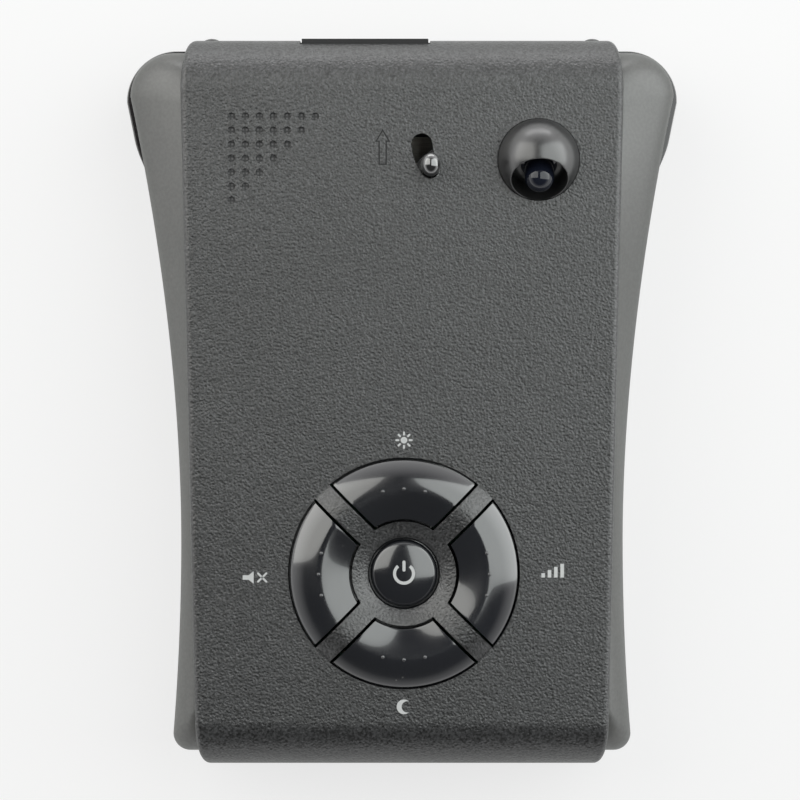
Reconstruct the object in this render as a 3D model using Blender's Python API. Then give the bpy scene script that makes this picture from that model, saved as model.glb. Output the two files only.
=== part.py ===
"""Windscreen radar detector: a waisted two-part housing under a strap-like top cover,
with a speaker grille, a bracket release lever, a hooded light sensor and a ring of buttons.

The origin is at the centre of the underside, +Y points to the windscreen and +Z up.
Sizes are in metres. Run with blender --background --python part.py.
"""

import math

import bmesh
import bpy
from mathutils import Matrix, Vector

MM = 0.001
GAP = 0.3 * MM  # between pieces that seat on each other
FULL_TURN = 2 * math.pi

# Top cover: a strap that runs over the top and down both ends
COVER_LENGTH = 110.0 * MM
COVER_TOP = 28.5 * MM
COVER_WALL = 1.5 * MM
COVER_FRONT_HALF = 33.3 * MM  # half of its width where the front roll begins
COVER_REAR_HALF = 31.1 * MM
COVER_RIM = 0.6 * MM  # radius along its long edges
FRONT_ROLL = 8.0 * MM  # radius of the bend over the front end
REAR_ROLL = 7.0 * MM
ROLL_NARROWING = 1.3 * MM  # how far each edge draws in over a bend
FRONT_DRAPE = 15.0 * MM  # height of the cover's lower edge at the front
REAR_DRAPE = 17.4 * MM
NUB_SPACING = 58.2 * MM  # two small bumpers on the front end
NUB_RADIUS = 1.5 * MM
NUB_HEIGHT = 4.0 * MM
NUB_REACH = 0.5 * MM

# Housing: plan outline at its widest level, the rim
RIM_FRONT_HALF = 41.5 * MM
RIM_WAIST_HALF = 33.7 * MM
RIM_REAR_HALF = 34.9 * MM
RIM_WAIST_SETBACK = 34.0 * MM  # of the waist from the rear end
RIM_FLARE = 1.84  # exponent of the flare from the waist to the front
FRONT_CORNER = 6.6 * MM
REAR_CORNER = 2.6 * MM
RIM_HEIGHT = 20.0 * MM
PARTING = 13.0 * MM  # where the upper and the lower housing meet
HOUSING_WALL = 1.8 * MM
LEDGE = 2.6 * MM  # what the cover rests on, along each of its edges
BOTTOM_WALL = 2.0 * MM

# Dark infrared window round the front of the lower housing
LENS_BOTTOM = 4.2 * MM
LENS_BULGE = 1.6 * MM
LENS_WALL = 2.4 * MM
LENS_SETBACK = 23.0 * MM  # where its ends are, from the front
LENS_TAPER = 9.0 * MM
FRONT_PORT_HALF = 30.0 * MM  # opening behind the lens

# Display window in the rear end
WINDOW_HALF = 26.5 * MM
WINDOW_BOTTOM = 3.6 * MM
WINDOW_WALL = 2.8 * MM
WINDOW_CORNER = 2.0 * MM
WINDOW_SINK = 0.3 * MM  # below the cover's rear face

# Speaker grille: a triangle of holes in straight rows
GRILLE_INSET = 7.7 * MM  # first hole, from the cover's left edge
GRILLE_SETBACK = 12.2 * MM  # and from its front
GRILLE_PITCH = 2.1 * MM
GRILLE_HOLE = 1.1 * MM
GRILLE_ROWS = 7
SPEAKER_RADIUS = 8.0 * MM
SPEAKER_HEIGHT = 4.6 * MM
SPEAKER_INSET = 11.9 * MM
SPEAKER_SETBACK = 20.4 * MM

# Raised arrow beside the lever
ARROW_OFFSET = 12.65 * MM  # of its middle from the lever's pivot, to the left
ARROW_SETBACK = 16.8 * MM
ARROW_LENGTH = 5.4 * MM
ARROW_HEAD = 2.3 * MM
ARROW_LINE = 0.3 * MM
ARROW_RISE = 0.2 * MM

# Release lever
LEVER_INSET = 23.55 * MM  # of its pivot from the cover's right edge
LEVER_SETBACK = 15.9 * MM
LEVER_REACH = 6.8 * MM  # from its pivot to its knob
LEVER_REST = math.radians(217.0)
LEVER_SWING = math.radians(33.0)
LEVER_SLOT = 3.2 * MM
KNOB_RADIUS = 1.35 * MM
KNOB_RISE = 4.2 * MM
KNOB_STRETCH = 1.2  # how much longer than wide its head is
KNOB_SHIFT = 0.4 * MM  # of its head towards the front
LEVER_PLATE = 1.6 * MM
LEVER_HUB = 3.0 * MM
POST_RADIUS = 1.4 * MM
POST_LENGTH = 6.6 * MM
TOOTH_REACH = 9.0 * MM
TOOTH_LEAD = math.radians(-68.0)  # from the knob's arm to the tooth's
TOOTH_DEPTH = 2.6 * MM
SLOT_LEAD = math.radians(6.0)  # how far a slot runs on past the swing at each end
ARM_RELIEF = 1.5 * MM  # how far the recess for the tooth's arm reaches towards the pivot
SPRING_WIRE = 0.4 * MM
SPRING_TURNS = 3
SPRING_STEPS = 10  # straight lengths in a turn

# Socket for the windscreen bracket's blade
SOCKET_OFFSET = 15.35 * MM  # of its middle from the lever's pivot, to the left
SOCKET_WIDTH = 19.2 * MM
SOCKET_BOTTOM = 18.9 * MM
SOCKET_HEIGHT = 4.8 * MM
SOCKET_WALL = 0.9 * MM
SOCKET_DEPTH = 14.5 * MM

# Light sensor under a hood
DOME_INSET = 12.8 * MM  # from the cover's right edge
DOME_SETBACK = 18.7 * MM
DOME_RADIUS = 6.1 * MM
DOME_FLANGE = 0.5 * MM
DOME_TILT = math.radians(48.0)  # of its mouth, from straight up towards the rear
MOUTH_OFFSET = 4.25 * MM
MOUTH_WALL = 0.35 * MM
MOUTH_DEPTH = 4.2 * MM
SENSOR_RADIUS = 2.2 * MM
SENSOR_COLLAR = 0.5 * MM

# Ring of buttons
RING_X = 0.3 * MM
RING_SETBACK = 29.2 * MM  # of its centre from the rear end
RING_RADIUS = 17.4 * MM
RING_CREST_RADIUS = 12.75 * MM
RING_INNER_RADIUS = 8.25 * MM
RING_CREST = 2.1 * MM
SPOKE_WIDTH = 2.94 * MM
DISH_RADIUS = 6.6 * MM
DISH_RISE = 0.4 * MM
DISH_SLOPE = 0.75
CENTRE_RADIUS = 4.95 * MM
CENTRE_CROWN = 1.1 * MM
CENTRE_RISE = 0.5 * MM
BUTTON_RISE = 0.3 * MM
BUTTON_EDGE = 0.35 * MM
BUTTON_CLEARANCE = 0.45 * MM
BUTTON_FLANGE = 0.5 * MM
BUTTON_FLANGE_HEIGHT = 1.2 * MM
BUTTON_TRAVEL = 0.5 * MM
DOT_RADIUS = 0.28 * MM
DOT_ANGLE = math.radians(14.3)
STEM_RADIUS = 1.3 * MM

# Electronics
BOARD_BOTTOM = 14.6 * MM
BOARD_THICKNESS = 1.6 * MM
BOARD_INSET = 9.6 * MM  # from the cover's edge where it is narrowest
BOARD_FRONT_SETBACK = 25.0 * MM
BOARD_REAR_SETBACK = 9.0 * MM
SWITCH_SIDE = 6.0 * MM
SWITCH_BODY = 3.5 * MM
PLUNGER_RADIUS = 1.75 * MM
PLUNGER_RISE = 1.4 * MM
HORN_HALF = 13.0 * MM
HORN_HEIGHT = 8.6 * MM
HORN_LENGTH = 24.0 * MM
HORN_WALL = 0.8 * MM
THROAT_HALF = 5.5 * MM
CAN_LENGTH = 26.0 * MM
CAN_HALF = 11.0 * MM
CAN_HEIGHT = 7.0 * MM
EYE_X = 19.0 * MM
EYE_RADIUS = 3.4 * MM
EYE_LENGTH = 8.0 * MM
DISPLAY_HALF = 22.0 * MM
DISPLAY_HEIGHT = 9.0 * MM
DISPLAY_DEPTH = 3.2 * MM
DISPLAY_LETTERS = 8
JACK_SETBACK = 49.0 * MM
JACK_HEIGHT = 7.2 * MM
JACK_WIDTH = 8.0 * MM
JACK_BORE = 2.85 * MM
JACK_PIN = 1.0 * MM
JACK_LENGTH = 12.0 * MM

# Case screws, driven from below into posts of the top cover
SCREW_INSET = 6.4 * MM  # from the cover's edge
SCREW_FRONT_SETBACK = 35.0 * MM
SCREW_REAR_SETBACK = 15.0 * MM
SCREW_RADIUS = 1.2 * MM
SCREW_HEAD = 2.4 * MM
SCREW_LENGTH = 12.0 * MM
SCREW_SINK = 4.0 * MM
SCREW_POST = 2.8 * MM

COVER_FRONT = COVER_LENGTH / 2
GRILLE_X, GRILLE_Y = GRILLE_INSET - COVER_FRONT_HALF, COVER_FRONT - GRILLE_SETBACK
SPEAKER_X, SPEAKER_Y = SPEAKER_INSET - COVER_FRONT_HALF, COVER_FRONT - SPEAKER_SETBACK
LEVER_X, LEVER_Y = COVER_FRONT_HALF - LEVER_INSET, COVER_FRONT - LEVER_SETBACK
ARROW_X, ARROW_Y = LEVER_X - ARROW_OFFSET, COVER_FRONT - ARROW_SETBACK
SOCKET_X = LEVER_X - SOCKET_OFFSET
DOME_X, DOME_Y = COVER_FRONT_HALF - DOME_INSET, COVER_FRONT - DOME_SETBACK
RING_Y = RING_SETBACK - COVER_FRONT
RIM_WAIST_Y = RIM_WAIST_SETBACK - COVER_FRONT
LENS_END_Y = COVER_FRONT - LENS_SETBACK
BOARD_HALF = min(COVER_FRONT_HALF, COVER_REAR_HALF) - BOARD_INSET
BOARD_FRONT_Y = COVER_FRONT - BOARD_FRONT_SETBACK
BOARD_REAR_Y = BOARD_REAR_SETBACK - COVER_FRONT
JACK_Y = COVER_FRONT - JACK_SETBACK
COVER_UNDER = COVER_TOP - COVER_WALL
HOUSING_TOP = COVER_UNDER - GAP
BODY_FRONT = COVER_FRONT - COVER_WALL - GAP
BUTTON_SEAT = COVER_UNDER - GAP  # top of the buttons' flanges
BOARD_TOP = BOARD_BOTTOM + BOARD_THICKNESS
PLUNGER_TOP = BOARD_TOP + GAP + SWITCH_BODY + PLUNGER_RISE
STEM_END = PLUNGER_TOP + BUTTON_TRAVEL + GAP
SOCKET_FRONT = COVER_FRONT
CLIP_THICKNESS = 0.7 * MM
POST_END = COVER_UNDER - POST_LENGTH
LEVER_BOTTOM = SOCKET_BOTTOM + SOCKET_HEIGHT + GAP


def clear_scene():
    for obj in list(bpy.data.objects):
        bpy.data.objects.remove(obj, do_unlink=True)


def material(name, colour, roughness, metallic=0.0, transmission=0.0):
    made = bpy.data.materials.new(name)
    made.use_nodes = True
    shader = made.node_tree.nodes["Principled BSDF"]
    shader.inputs["Base Color"].default_value = (*colour, 1.0)
    shader.inputs["Roughness"].default_value = roughness
    shader.inputs["Metallic"].default_value = metallic
    shader.inputs["Transmission Weight"].default_value = transmission
    return made


def place(name, bm, finish=None, sharp=35.0):
    """Turns a bmesh into an object of the scene; without a finish it is a cutter or a blank."""
    bmesh.ops.recalc_face_normals(bm, faces=bm.faces)
    mesh = bpy.data.meshes.new(name)
    bm.to_mesh(mesh)
    bm.free()
    mesh.shade_smooth()
    mesh.set_sharp_from_angle(angle=math.radians(sharp))
    obj = bpy.data.objects.new(name, mesh)
    bpy.context.scene.collection.objects.link(obj)
    if finish is None:
        obj.hide_render = True
        obj.display_type = "WIRE"
    else:
        mesh.materials.append(finish)
    return obj


def combine(obj, other, operation):
    boolean = obj.modifiers.new(f"{operation.title()} {other.name}", "BOOLEAN")
    boolean.operation = operation
    boolean.object = other
    boolean.solver = "EXACT"


def cut(obj, name, bm):
    combine(obj, place(name, bm), "DIFFERENCE")


def add(obj, name, bm):
    combine(obj, place(name, bm), "UNION")


def pivot(obj, location):
    """Hangs the object on an empty that stands on its joint's axis."""
    empty = bpy.data.objects.new(f"{obj.name}_axis", None)
    empty.empty_display_size = 0.004
    empty.location = location
    bpy.context.scene.collection.objects.link(empty)
    obj.parent = empty
    obj.matrix_parent_inverse = Matrix.Translation(-Vector(location))


def loft(rings, wrap=False):
    """Skins closed rings of equal count; ends are capped unless the last ring meets the first."""
    bm = bmesh.new()
    loops = [[bm.verts.new(point) for point in ring] for ring in rings]
    following = loops[1:] + ([loops[0]] if wrap else [])
    for lower, upper in zip(loops, following):
        for i, corner in enumerate(lower):
            j = (i + 1) % len(lower)
            bm.faces.new((corner, lower[j], upper[j], upper[i]))
    if not wrap:
        bm.faces.new(loops[0][::-1])
        bm.faces.new(loops[-1])
    return bm


def prism(outline, bottom, top):
    return loft([[(x, y, z) for x, y in outline] for z in (bottom, top)])


def box(centre, size):
    bm = bmesh.new()
    bmesh.ops.create_cube(bm, size=1.0)
    bmesh.ops.scale(bm, vec=size, verts=bm.verts)
    bmesh.ops.translate(bm, vec=centre, verts=bm.verts)
    return bm


def turned(profile, segments, centre=(0.0, 0.0, 0.0), ring=False):
    """Revolves (radius, height) points about +Z; a ring's profile is closed."""
    bm = bmesh.new()
    verts = [bm.verts.new((radius, 0.0, height)) for radius, height in profile]
    ends = verts[1:] + (verts[:1] if ring else [])
    edges = [bm.edges.new(pair) for pair in zip(verts, ends)]
    bmesh.ops.spin(bm, geom=verts + edges, angle=FULL_TURN, steps=segments, axis=(0, 0, 1))
    bmesh.ops.remove_doubles(bm, verts=bm.verts, dist=1e-6)
    bmesh.ops.translate(bm, vec=centre, verts=bm.verts)
    return bm


def rod(radius, bottom, top, segments, x=0.0, y=0.0, chamfer=0.0):
    profile = [(0, bottom), (radius, bottom), (radius, top - chamfer)]
    profile += [(radius - chamfer, top)] if chamfer else []
    return turned(profile + [(0, top)], segments, (x, y, 0.0))


def turn_all(bm, matrix):
    bmesh.ops.transform(bm, matrix=matrix, verts=bm.verts)
    return bm


def smooth_step(t):
    t = min(max(t, 0.0), 1.0)
    return t * t * (3 - 2 * t)


def arc(centre, radius, start, end, steps):
    for i in range(steps + 1):
        angle = start + (end - start) * i / steps
        yield (
            centre[0] + radius * math.cos(angle),
            centre[1] + radius * math.sin(angle),
        )


def cover_half(y):
    """Half width of the cover, which narrows evenly from front to rear."""
    front, rear = COVER_FRONT - FRONT_ROLL, REAR_ROLL - COVER_FRONT
    share = (min(max(y, rear), front) - rear) / (front - rear)
    return COVER_REAR_HALF + (COVER_FRONT_HALF - COVER_REAR_HALF) * share


def rim_half(y):
    """Half width of the housing at its rim: it flares from a waist to both ends."""
    front, rear = BODY_FRONT - FRONT_CORNER, REAR_CORNER - BODY_FRONT
    if y > RIM_WAIST_Y:
        share = min((y - RIM_WAIST_Y) / (front - RIM_WAIST_Y), 1.0)
        return RIM_WAIST_HALF + (RIM_FRONT_HALF - RIM_WAIST_HALF) * share**RIM_FLARE
    share = min((RIM_WAIST_Y - y) / (RIM_WAIST_Y - rear), 1.0)
    return RIM_WAIST_HALF + (RIM_REAR_HALF - RIM_WAIST_HALF) * share**2


def plan(half, front, rear, front_corner, rear_corner):
    """Mirrored outline in plan from the middle of the front edge, always of equal count."""
    side_front, side_rear = front - front_corner, rear + rear_corner
    front_x = half(side_front) - front_corner
    rear_x = half(side_rear) - rear_corner
    right = [(front_x * i / 4, front) for i in range(4)]
    right += arc((front_x, side_front), front_corner, math.pi / 2, 0.0, 6)
    for i in range(1, 11):
        y = side_front + (side_rear - side_front) * i / 11
        right.append((half(y), y))
    right += arc((rear_x, side_rear), rear_corner, 0.0, -math.pi / 2, 4)
    right += [(rear_x * (1 - i / 4), rear) for i in range(1, 5)]
    return right + [(-x, y) for x, y in reversed(right[1:-1])]


def housing_plan(inset):
    front_corner = max(FRONT_CORNER - inset, 0.8 * MM)
    rear_corner = max(REAR_CORNER - inset, 0.8 * MM)
    front = BODY_FRONT - inset
    return plan(lambda y: rim_half(y) - inset, front, -front, front_corner, rear_corner)


def seat_plan(inset):
    """Where the housing passes under the cover."""
    front, rear = COVER_FRONT - FRONT_ROLL, REAR_ROLL - COVER_FRONT
    return plan(lambda y: cover_half(y) - inset, front - inset, rear + inset, 2 * MM, 2 * MM)


def at(outline, z):
    return [(x, y, z) for x, y in outline]


def wing_drop(share, endwise):
    """Share of the fall from the seat to the rim.

    Sideways (endwise 0) it is a slope with a crisp edge; over the ends (endwise 1) it is a roll.
    """
    slope = 0.8 * share + 0.2 * (1 - math.sqrt(1 - share**12))
    return slope + (1 - math.sqrt(1 - share**2) - slope) * endwise


def wing_ring(start, end, share, top, bottom):
    """One ring of the wing, part of the way from the outline start to the outline end."""
    ring = []
    for (ax, ay), (bx, by) in zip(start, end):
        across, along = bx - ax, by - ay
        fall = wing_drop(share, along**2 / (across**2 + along**2))
        ring.append((ax + across * share, ay + along * share, top - (top - bottom) * fall))
    return ring


def housing_side_inset(z):
    return 0.2 * MM + 0.1 * (PARTING - GAP - z)


def upper_housing(finish):
    opening, seat, rim = seat_plan(LEDGE), seat_plan(0.4 * MM), housing_plan(0.0)
    inner_rim = housing_plan(HOUSING_WALL)
    ledge_under = HOUSING_TOP - HOUSING_WALL
    inner_shoulder = RIM_HEIGHT - HOUSING_WALL / 2
    rings = [at(opening, HOUSING_TOP), at(seat, HOUSING_TOP)]
    for share in (0.3, 0.6, 0.8, 0.92, 0.98, 1.0):
        rings.append(wing_ring(seat, rim, share, HOUSING_TOP, RIM_HEIGHT))
    rings += [at(rim, PARTING), at(inner_rim, PARTING), at(inner_rim, inner_shoulder)]
    for share in (0.92, 0.7, 0.4):
        rings.append(wing_ring(opening, inner_rim, share, ledge_under, inner_shoulder))
    rings.append(at(opening, ledge_under))
    obj = place("upper_housing", loft(rings, wrap=True), finish)
    cut(obj, "window_notch", rear_window(GAP, 10 * MM))
    tooth_angle = LEVER_REST + TOOTH_LEAD
    relief = curved_slot(
        TOOTH_REACH - ARM_RELIEF,
        KNOB_RADIUS + ARM_RELIEF + 2 * GAP,
        tooth_angle + SLOT_LEAD,
        tooth_angle - LEVER_SWING - SLOT_LEAD,
    )
    cut(obj, "arm_relief", prism(relief, LEVER_BOTTOM - TOOTH_DEPTH - GAP, COVER_TOP))
    notch_top = COVER_TOP
    notch_bottom = SOCKET_BOTTOM - GAP
    centre = (SOCKET_X, BODY_FRONT - 4 * MM, (notch_top + notch_bottom) / 2)
    size = (SOCKET_WIDTH + 2 * GAP, 14 * MM, notch_top - notch_bottom)
    cut(obj, "socket_notch", box(centre, size))
    return obj


def lower_housing(finish):
    top, bend = PARTING - GAP, 3.0 * MM
    side = housing_side_inset(bend)
    outer, inner = [], []
    for angle in (90, 50, 0):
        turn = math.radians(angle)
        inset = side + bend * (1 - math.cos(turn))
        outer.append(at(housing_plan(inset), bend * (1 - math.sin(turn))))
    outer.append(at(housing_plan(housing_side_inset(top)), top))
    inner.append(at(housing_plan(housing_side_inset(top) + HOUSING_WALL), top))
    inner.append(at(housing_plan(side + HOUSING_WALL), bend + BOTTOM_WALL / 2))
    inner.append(at(housing_plan(side + HOUSING_WALL + bend / 2), BOTTOM_WALL))
    obj = place("lower_housing", loft(outer + inner), finish)
    cut(obj, "lens_seat", lens_band(6 * MM, GAP))
    centre = (0.0, BODY_FRONT, (LENS_BOTTOM + PARTING + 2 * MM) / 2)
    cut(obj, "front_port", box(centre, (2 * FRONT_PORT_HALF, 12 * MM, PARTING + 2 * MM - LENS_BOTTOM)))
    cut(obj, "window_port", rear_window(GAP, 10 * MM))
    x = -rim_half(JACK_Y)
    hole = turn_all(rod(JACK_BORE + 1.3 * MM, -4 * MM, 6 * MM, 24), jack_matrix(x))
    cut(obj, "jack_hole", hole)
    for x, y in screw_places():
        name = f"{'front' if y > 0 else 'rear'}_{'right' if x > 0 else 'left'}"
        add(obj, f"sleeve_{name}", rod(SCREW_POST + 0.6 * MM, 1 * MM, SCREW_SINK + 3 * MM, 14, x, y))
        bore = [(0, -MM), (SCREW_HEAD + GAP, -MM), (SCREW_HEAD + GAP, SCREW_SINK)]
        bore += [(SCREW_RADIUS + GAP, SCREW_SINK), (SCREW_RADIUS + GAP, 9 * MM), (0, 9 * MM)]
        cut(obj, f"screw_bore_{name}", turned(bore, 10, (x, y, 0)))
    for x in (-BOARD_HALF + 3 * MM, BOARD_HALF - 3 * MM):
        for y in (BOARD_FRONT_Y - 5 * MM, BOARD_REAR_Y + 9 * MM):
            side_name = f"{'right' if x > 0 else 'left'}_{'front' if y > 0 else 'rear'}"
            add(obj, f"board_post_{side_name}", rod(2 * MM, MM, BOARD_BOTTOM - GAP, 10, x, y))
    return obj


def lens_band(outward, spread):
    """Band round the front of the housing, from one side to the other.

    outward is added to its outer face and spread to its inner face and its ends.
    """
    front, corner = BODY_FRONT, FRONT_CORNER
    side_front = front - corner
    end_y = LENS_END_Y - spread
    right = [(rim_half(y), y) for y in (end_y + (side_front - end_y) * i / 7 for i in range(7))]
    corner_x = rim_half(side_front) - corner
    right += arc((corner_x, side_front), corner, 0.0, math.pi / 2, 8)
    right += [(corner_x * (1 - i / 3), front) for i in range(1, 4)]
    path = right + [(-x, y) for x, y in reversed(right[:-1])]
    lengths = [0.0]
    for (ax, ay), (bx, by) in zip(path, path[1:]):
        lengths.append(lengths[-1] + math.hypot(bx - ax, by - ay))
    last = len(path) - 1
    bottom = LENS_BOTTOM - spread
    top = PARTING - GAP if spread == 0 else PARTING + MM
    levels = [0.0, 0.18, 0.5, 0.82, 1.0]
    crown = [-0.45 * MM, -0.1 * MM, 0.0, -0.1 * MM, -0.35 * MM]
    rings = []
    for i, (x, y) in enumerate(path):
        (ax, ay), (bx, by) = path[max(i - 1, 0)], path[min(i + 1, last)]
        size = math.hypot(bx - ax, by - ay)
        nx, ny = (by - ay) / size, (ax - bx) / size
        reach = min(lengths[i], lengths[-1] - lengths[i])
        bulge = LENS_BULGE * smooth_step(reach / LENS_TAPER) + outward
        ring = []
        for level, sink in zip(levels, crown):
            z = bottom + (top - bottom) * level
            out = bulge + sink - 0.1 * (PARTING - z)
            ring.append((x + nx * out, y + ny * out, z))
        for z in (top, bottom):
            inwards = LENS_BULGE - LENS_WALL - spread - 0.1 * (PARTING - z) - 0.6 * MM
            ring.append((x + nx * inwards, y + ny * inwards, z))
        rings.append(ring)
    return loft(rings)


def rounded_rectangle(half_width, half_height, corner, steps=4):
    points = []
    for sx, sy, start in ((1, 1, 0), (-1, 1, 90), (-1, -1, 180), (1, -1, 270)):
        centre = (sx * (half_width - corner), sy * (half_height - corner))
        begin = math.radians(start)
        points += arc(centre, corner, begin, begin + math.pi / 2, steps)
    return points


def rear_window(spread, depth):
    """Plate across the rear end; with a spread and a depth it is the cutter of its opening."""
    top, bottom = REAR_DRAPE - GAP, WINDOW_BOTTOM
    half_height = (top - bottom) / 2 + spread
    outline = rounded_rectangle(WINDOW_HALF + spread, half_height, WINDOW_CORNER)
    outer = COVER_FRONT - WINDOW_SINK
    edge = 0.0 if spread else 0.4 * MM
    small = rounded_rectangle(WINDOW_HALF - edge, half_height - edge, WINDOW_CORNER - edge)
    middle = (top + bottom) / 2
    inner = outer - WINDOW_WALL - (depth if spread else 0.0)
    if spread:
        stack = ((outline, -inner), (outline, -outer - 4 * MM))
    else:
        stack = ((outline, -inner), (outline, -outer + edge), (small, -outer))
    return loft([[(x, y, z + middle) for x, z in ring] for ring, y in stack])


def jack_matrix(x):
    """Puts a shape turned about +Z on the side of the housing, pointing inwards along +X."""
    return Matrix.Translation((x, JACK_Y, JACK_HEIGHT)) @ Matrix.Rotation(math.pi / 2, 4, "Y")


def screw_places():
    return [
        (side * (cover_half(y) - SCREW_INSET), y)
        for y in (COVER_FRONT - SCREW_FRONT_SETBACK, SCREW_REAR_SETBACK - COVER_FRONT)
        for side in (-1, 1)
    ]


def ring_height(radius):
    """Height of the button ring above the cover: a swell with its crest between two edges."""
    if radius > RING_CREST_RADIUS:
        share = (radius - RING_CREST_RADIUS) / (RING_RADIUS - RING_CREST_RADIUS)
        return RING_CREST * (1 - min(share, 1.0) ** 1.7)
    share = (RING_CREST_RADIUS - radius) / (RING_CREST_RADIUS - DISH_RADIUS)
    return DISH_RISE + (RING_CREST - DISH_RISE) * (1 - min(share, 1.0) ** 1.7)


def quadrant(profile, bar, steps):
    """Sweeps a (radius, height) profile over the quarter round +X, less half a bar at each end."""
    rings = []
    for i in range(steps + 1):
        share = 2 * i / steps - 1
        ring = []
        for radius, height in profile:
            angle = share * (math.pi / 4 - math.asin(bar / radius))
            ring.append((radius * math.cos(angle), radius * math.sin(angle), height))
        rings.append(ring)
    return loft(rings)


def ring_place(turns):
    """From the ring's own frame to the object's, turned by quarters."""
    turn = Matrix.Rotation(turns * math.pi / 2, 4, "Z")
    return Matrix.Translation((RING_X, RING_Y, 0)) @ turn


def cover_stations():
    """(y, z, outward y, outward z, half width) along the cover, from its front edge to its rear."""
    front_y, front_z = COVER_FRONT - FRONT_ROLL, COVER_TOP - FRONT_ROLL
    rear_y, rear_z = REAR_ROLL - COVER_FRONT, COVER_TOP - REAR_ROLL
    stations = [(COVER_FRONT, FRONT_DRAPE, 1.0, 0.0, cover_half(front_y) - 1.3 * ROLL_NARROWING)]
    for i in range(9):
        angle = math.pi / 2 * i / 8
        half = cover_half(front_y) - ROLL_NARROWING * (1 - math.sin(angle))
        y, z = FRONT_ROLL * math.cos(angle), FRONT_ROLL * math.sin(angle)
        stations.append((front_y + y, front_z + z, math.cos(angle), math.sin(angle), half))
    for i in range(8, -1, -1):
        angle = math.pi / 2 * i / 8
        half = cover_half(rear_y) - ROLL_NARROWING * (1 - math.sin(angle))
        y, z = REAR_ROLL * math.cos(angle), REAR_ROLL * math.sin(angle)
        stations.append((rear_y - y, rear_z + z, -math.cos(angle), math.sin(angle), half))
    end_half = cover_half(rear_y) - 1.3 * ROLL_NARROWING
    stations.append((-COVER_FRONT, REAR_DRAPE, -1.0, 0.0, end_half))
    return stations


def cover_strap():
    rings = []
    for y, z, ny, nz, half in cover_stations():
        edge = [(half, COVER_WALL)]
        for step in range(4):
            turn = math.pi / 6 * step
            edge.append(
                (
                    half - COVER_RIM * (1 - math.cos(turn)),
                    COVER_RIM * (1 - math.sin(turn)),
                )
            )
        section = edge + [(-x, sink) for x, sink in reversed(edge)]
        rings.append([(x, y - ny * sink, z - nz * sink) for x, sink in section])
    return loft(rings)


def arrow_outline(inset):
    """Straight arrow towards the front; the inset is measured square to its sides."""
    half_head, head = ARROW_HEAD / 2, ARROW_HEAD * 0.85
    half_shaft = ARROW_HEAD * 0.27
    slant = math.hypot(half_head, head)
    tip = ARROW_LENGTH / 2 - inset * slant / half_head
    base = ARROW_LENGTH / 2 - head + inset
    wing = half_head * (tip - base) / head
    shaft, foot = half_shaft - inset, inset - ARROW_LENGTH / 2
    return [(0, tip), (wing, base), (shaft, base), (shaft, foot)] + [
        (-shaft, foot),
        (-shaft, base),
        (-wing, base),
    ]


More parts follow.
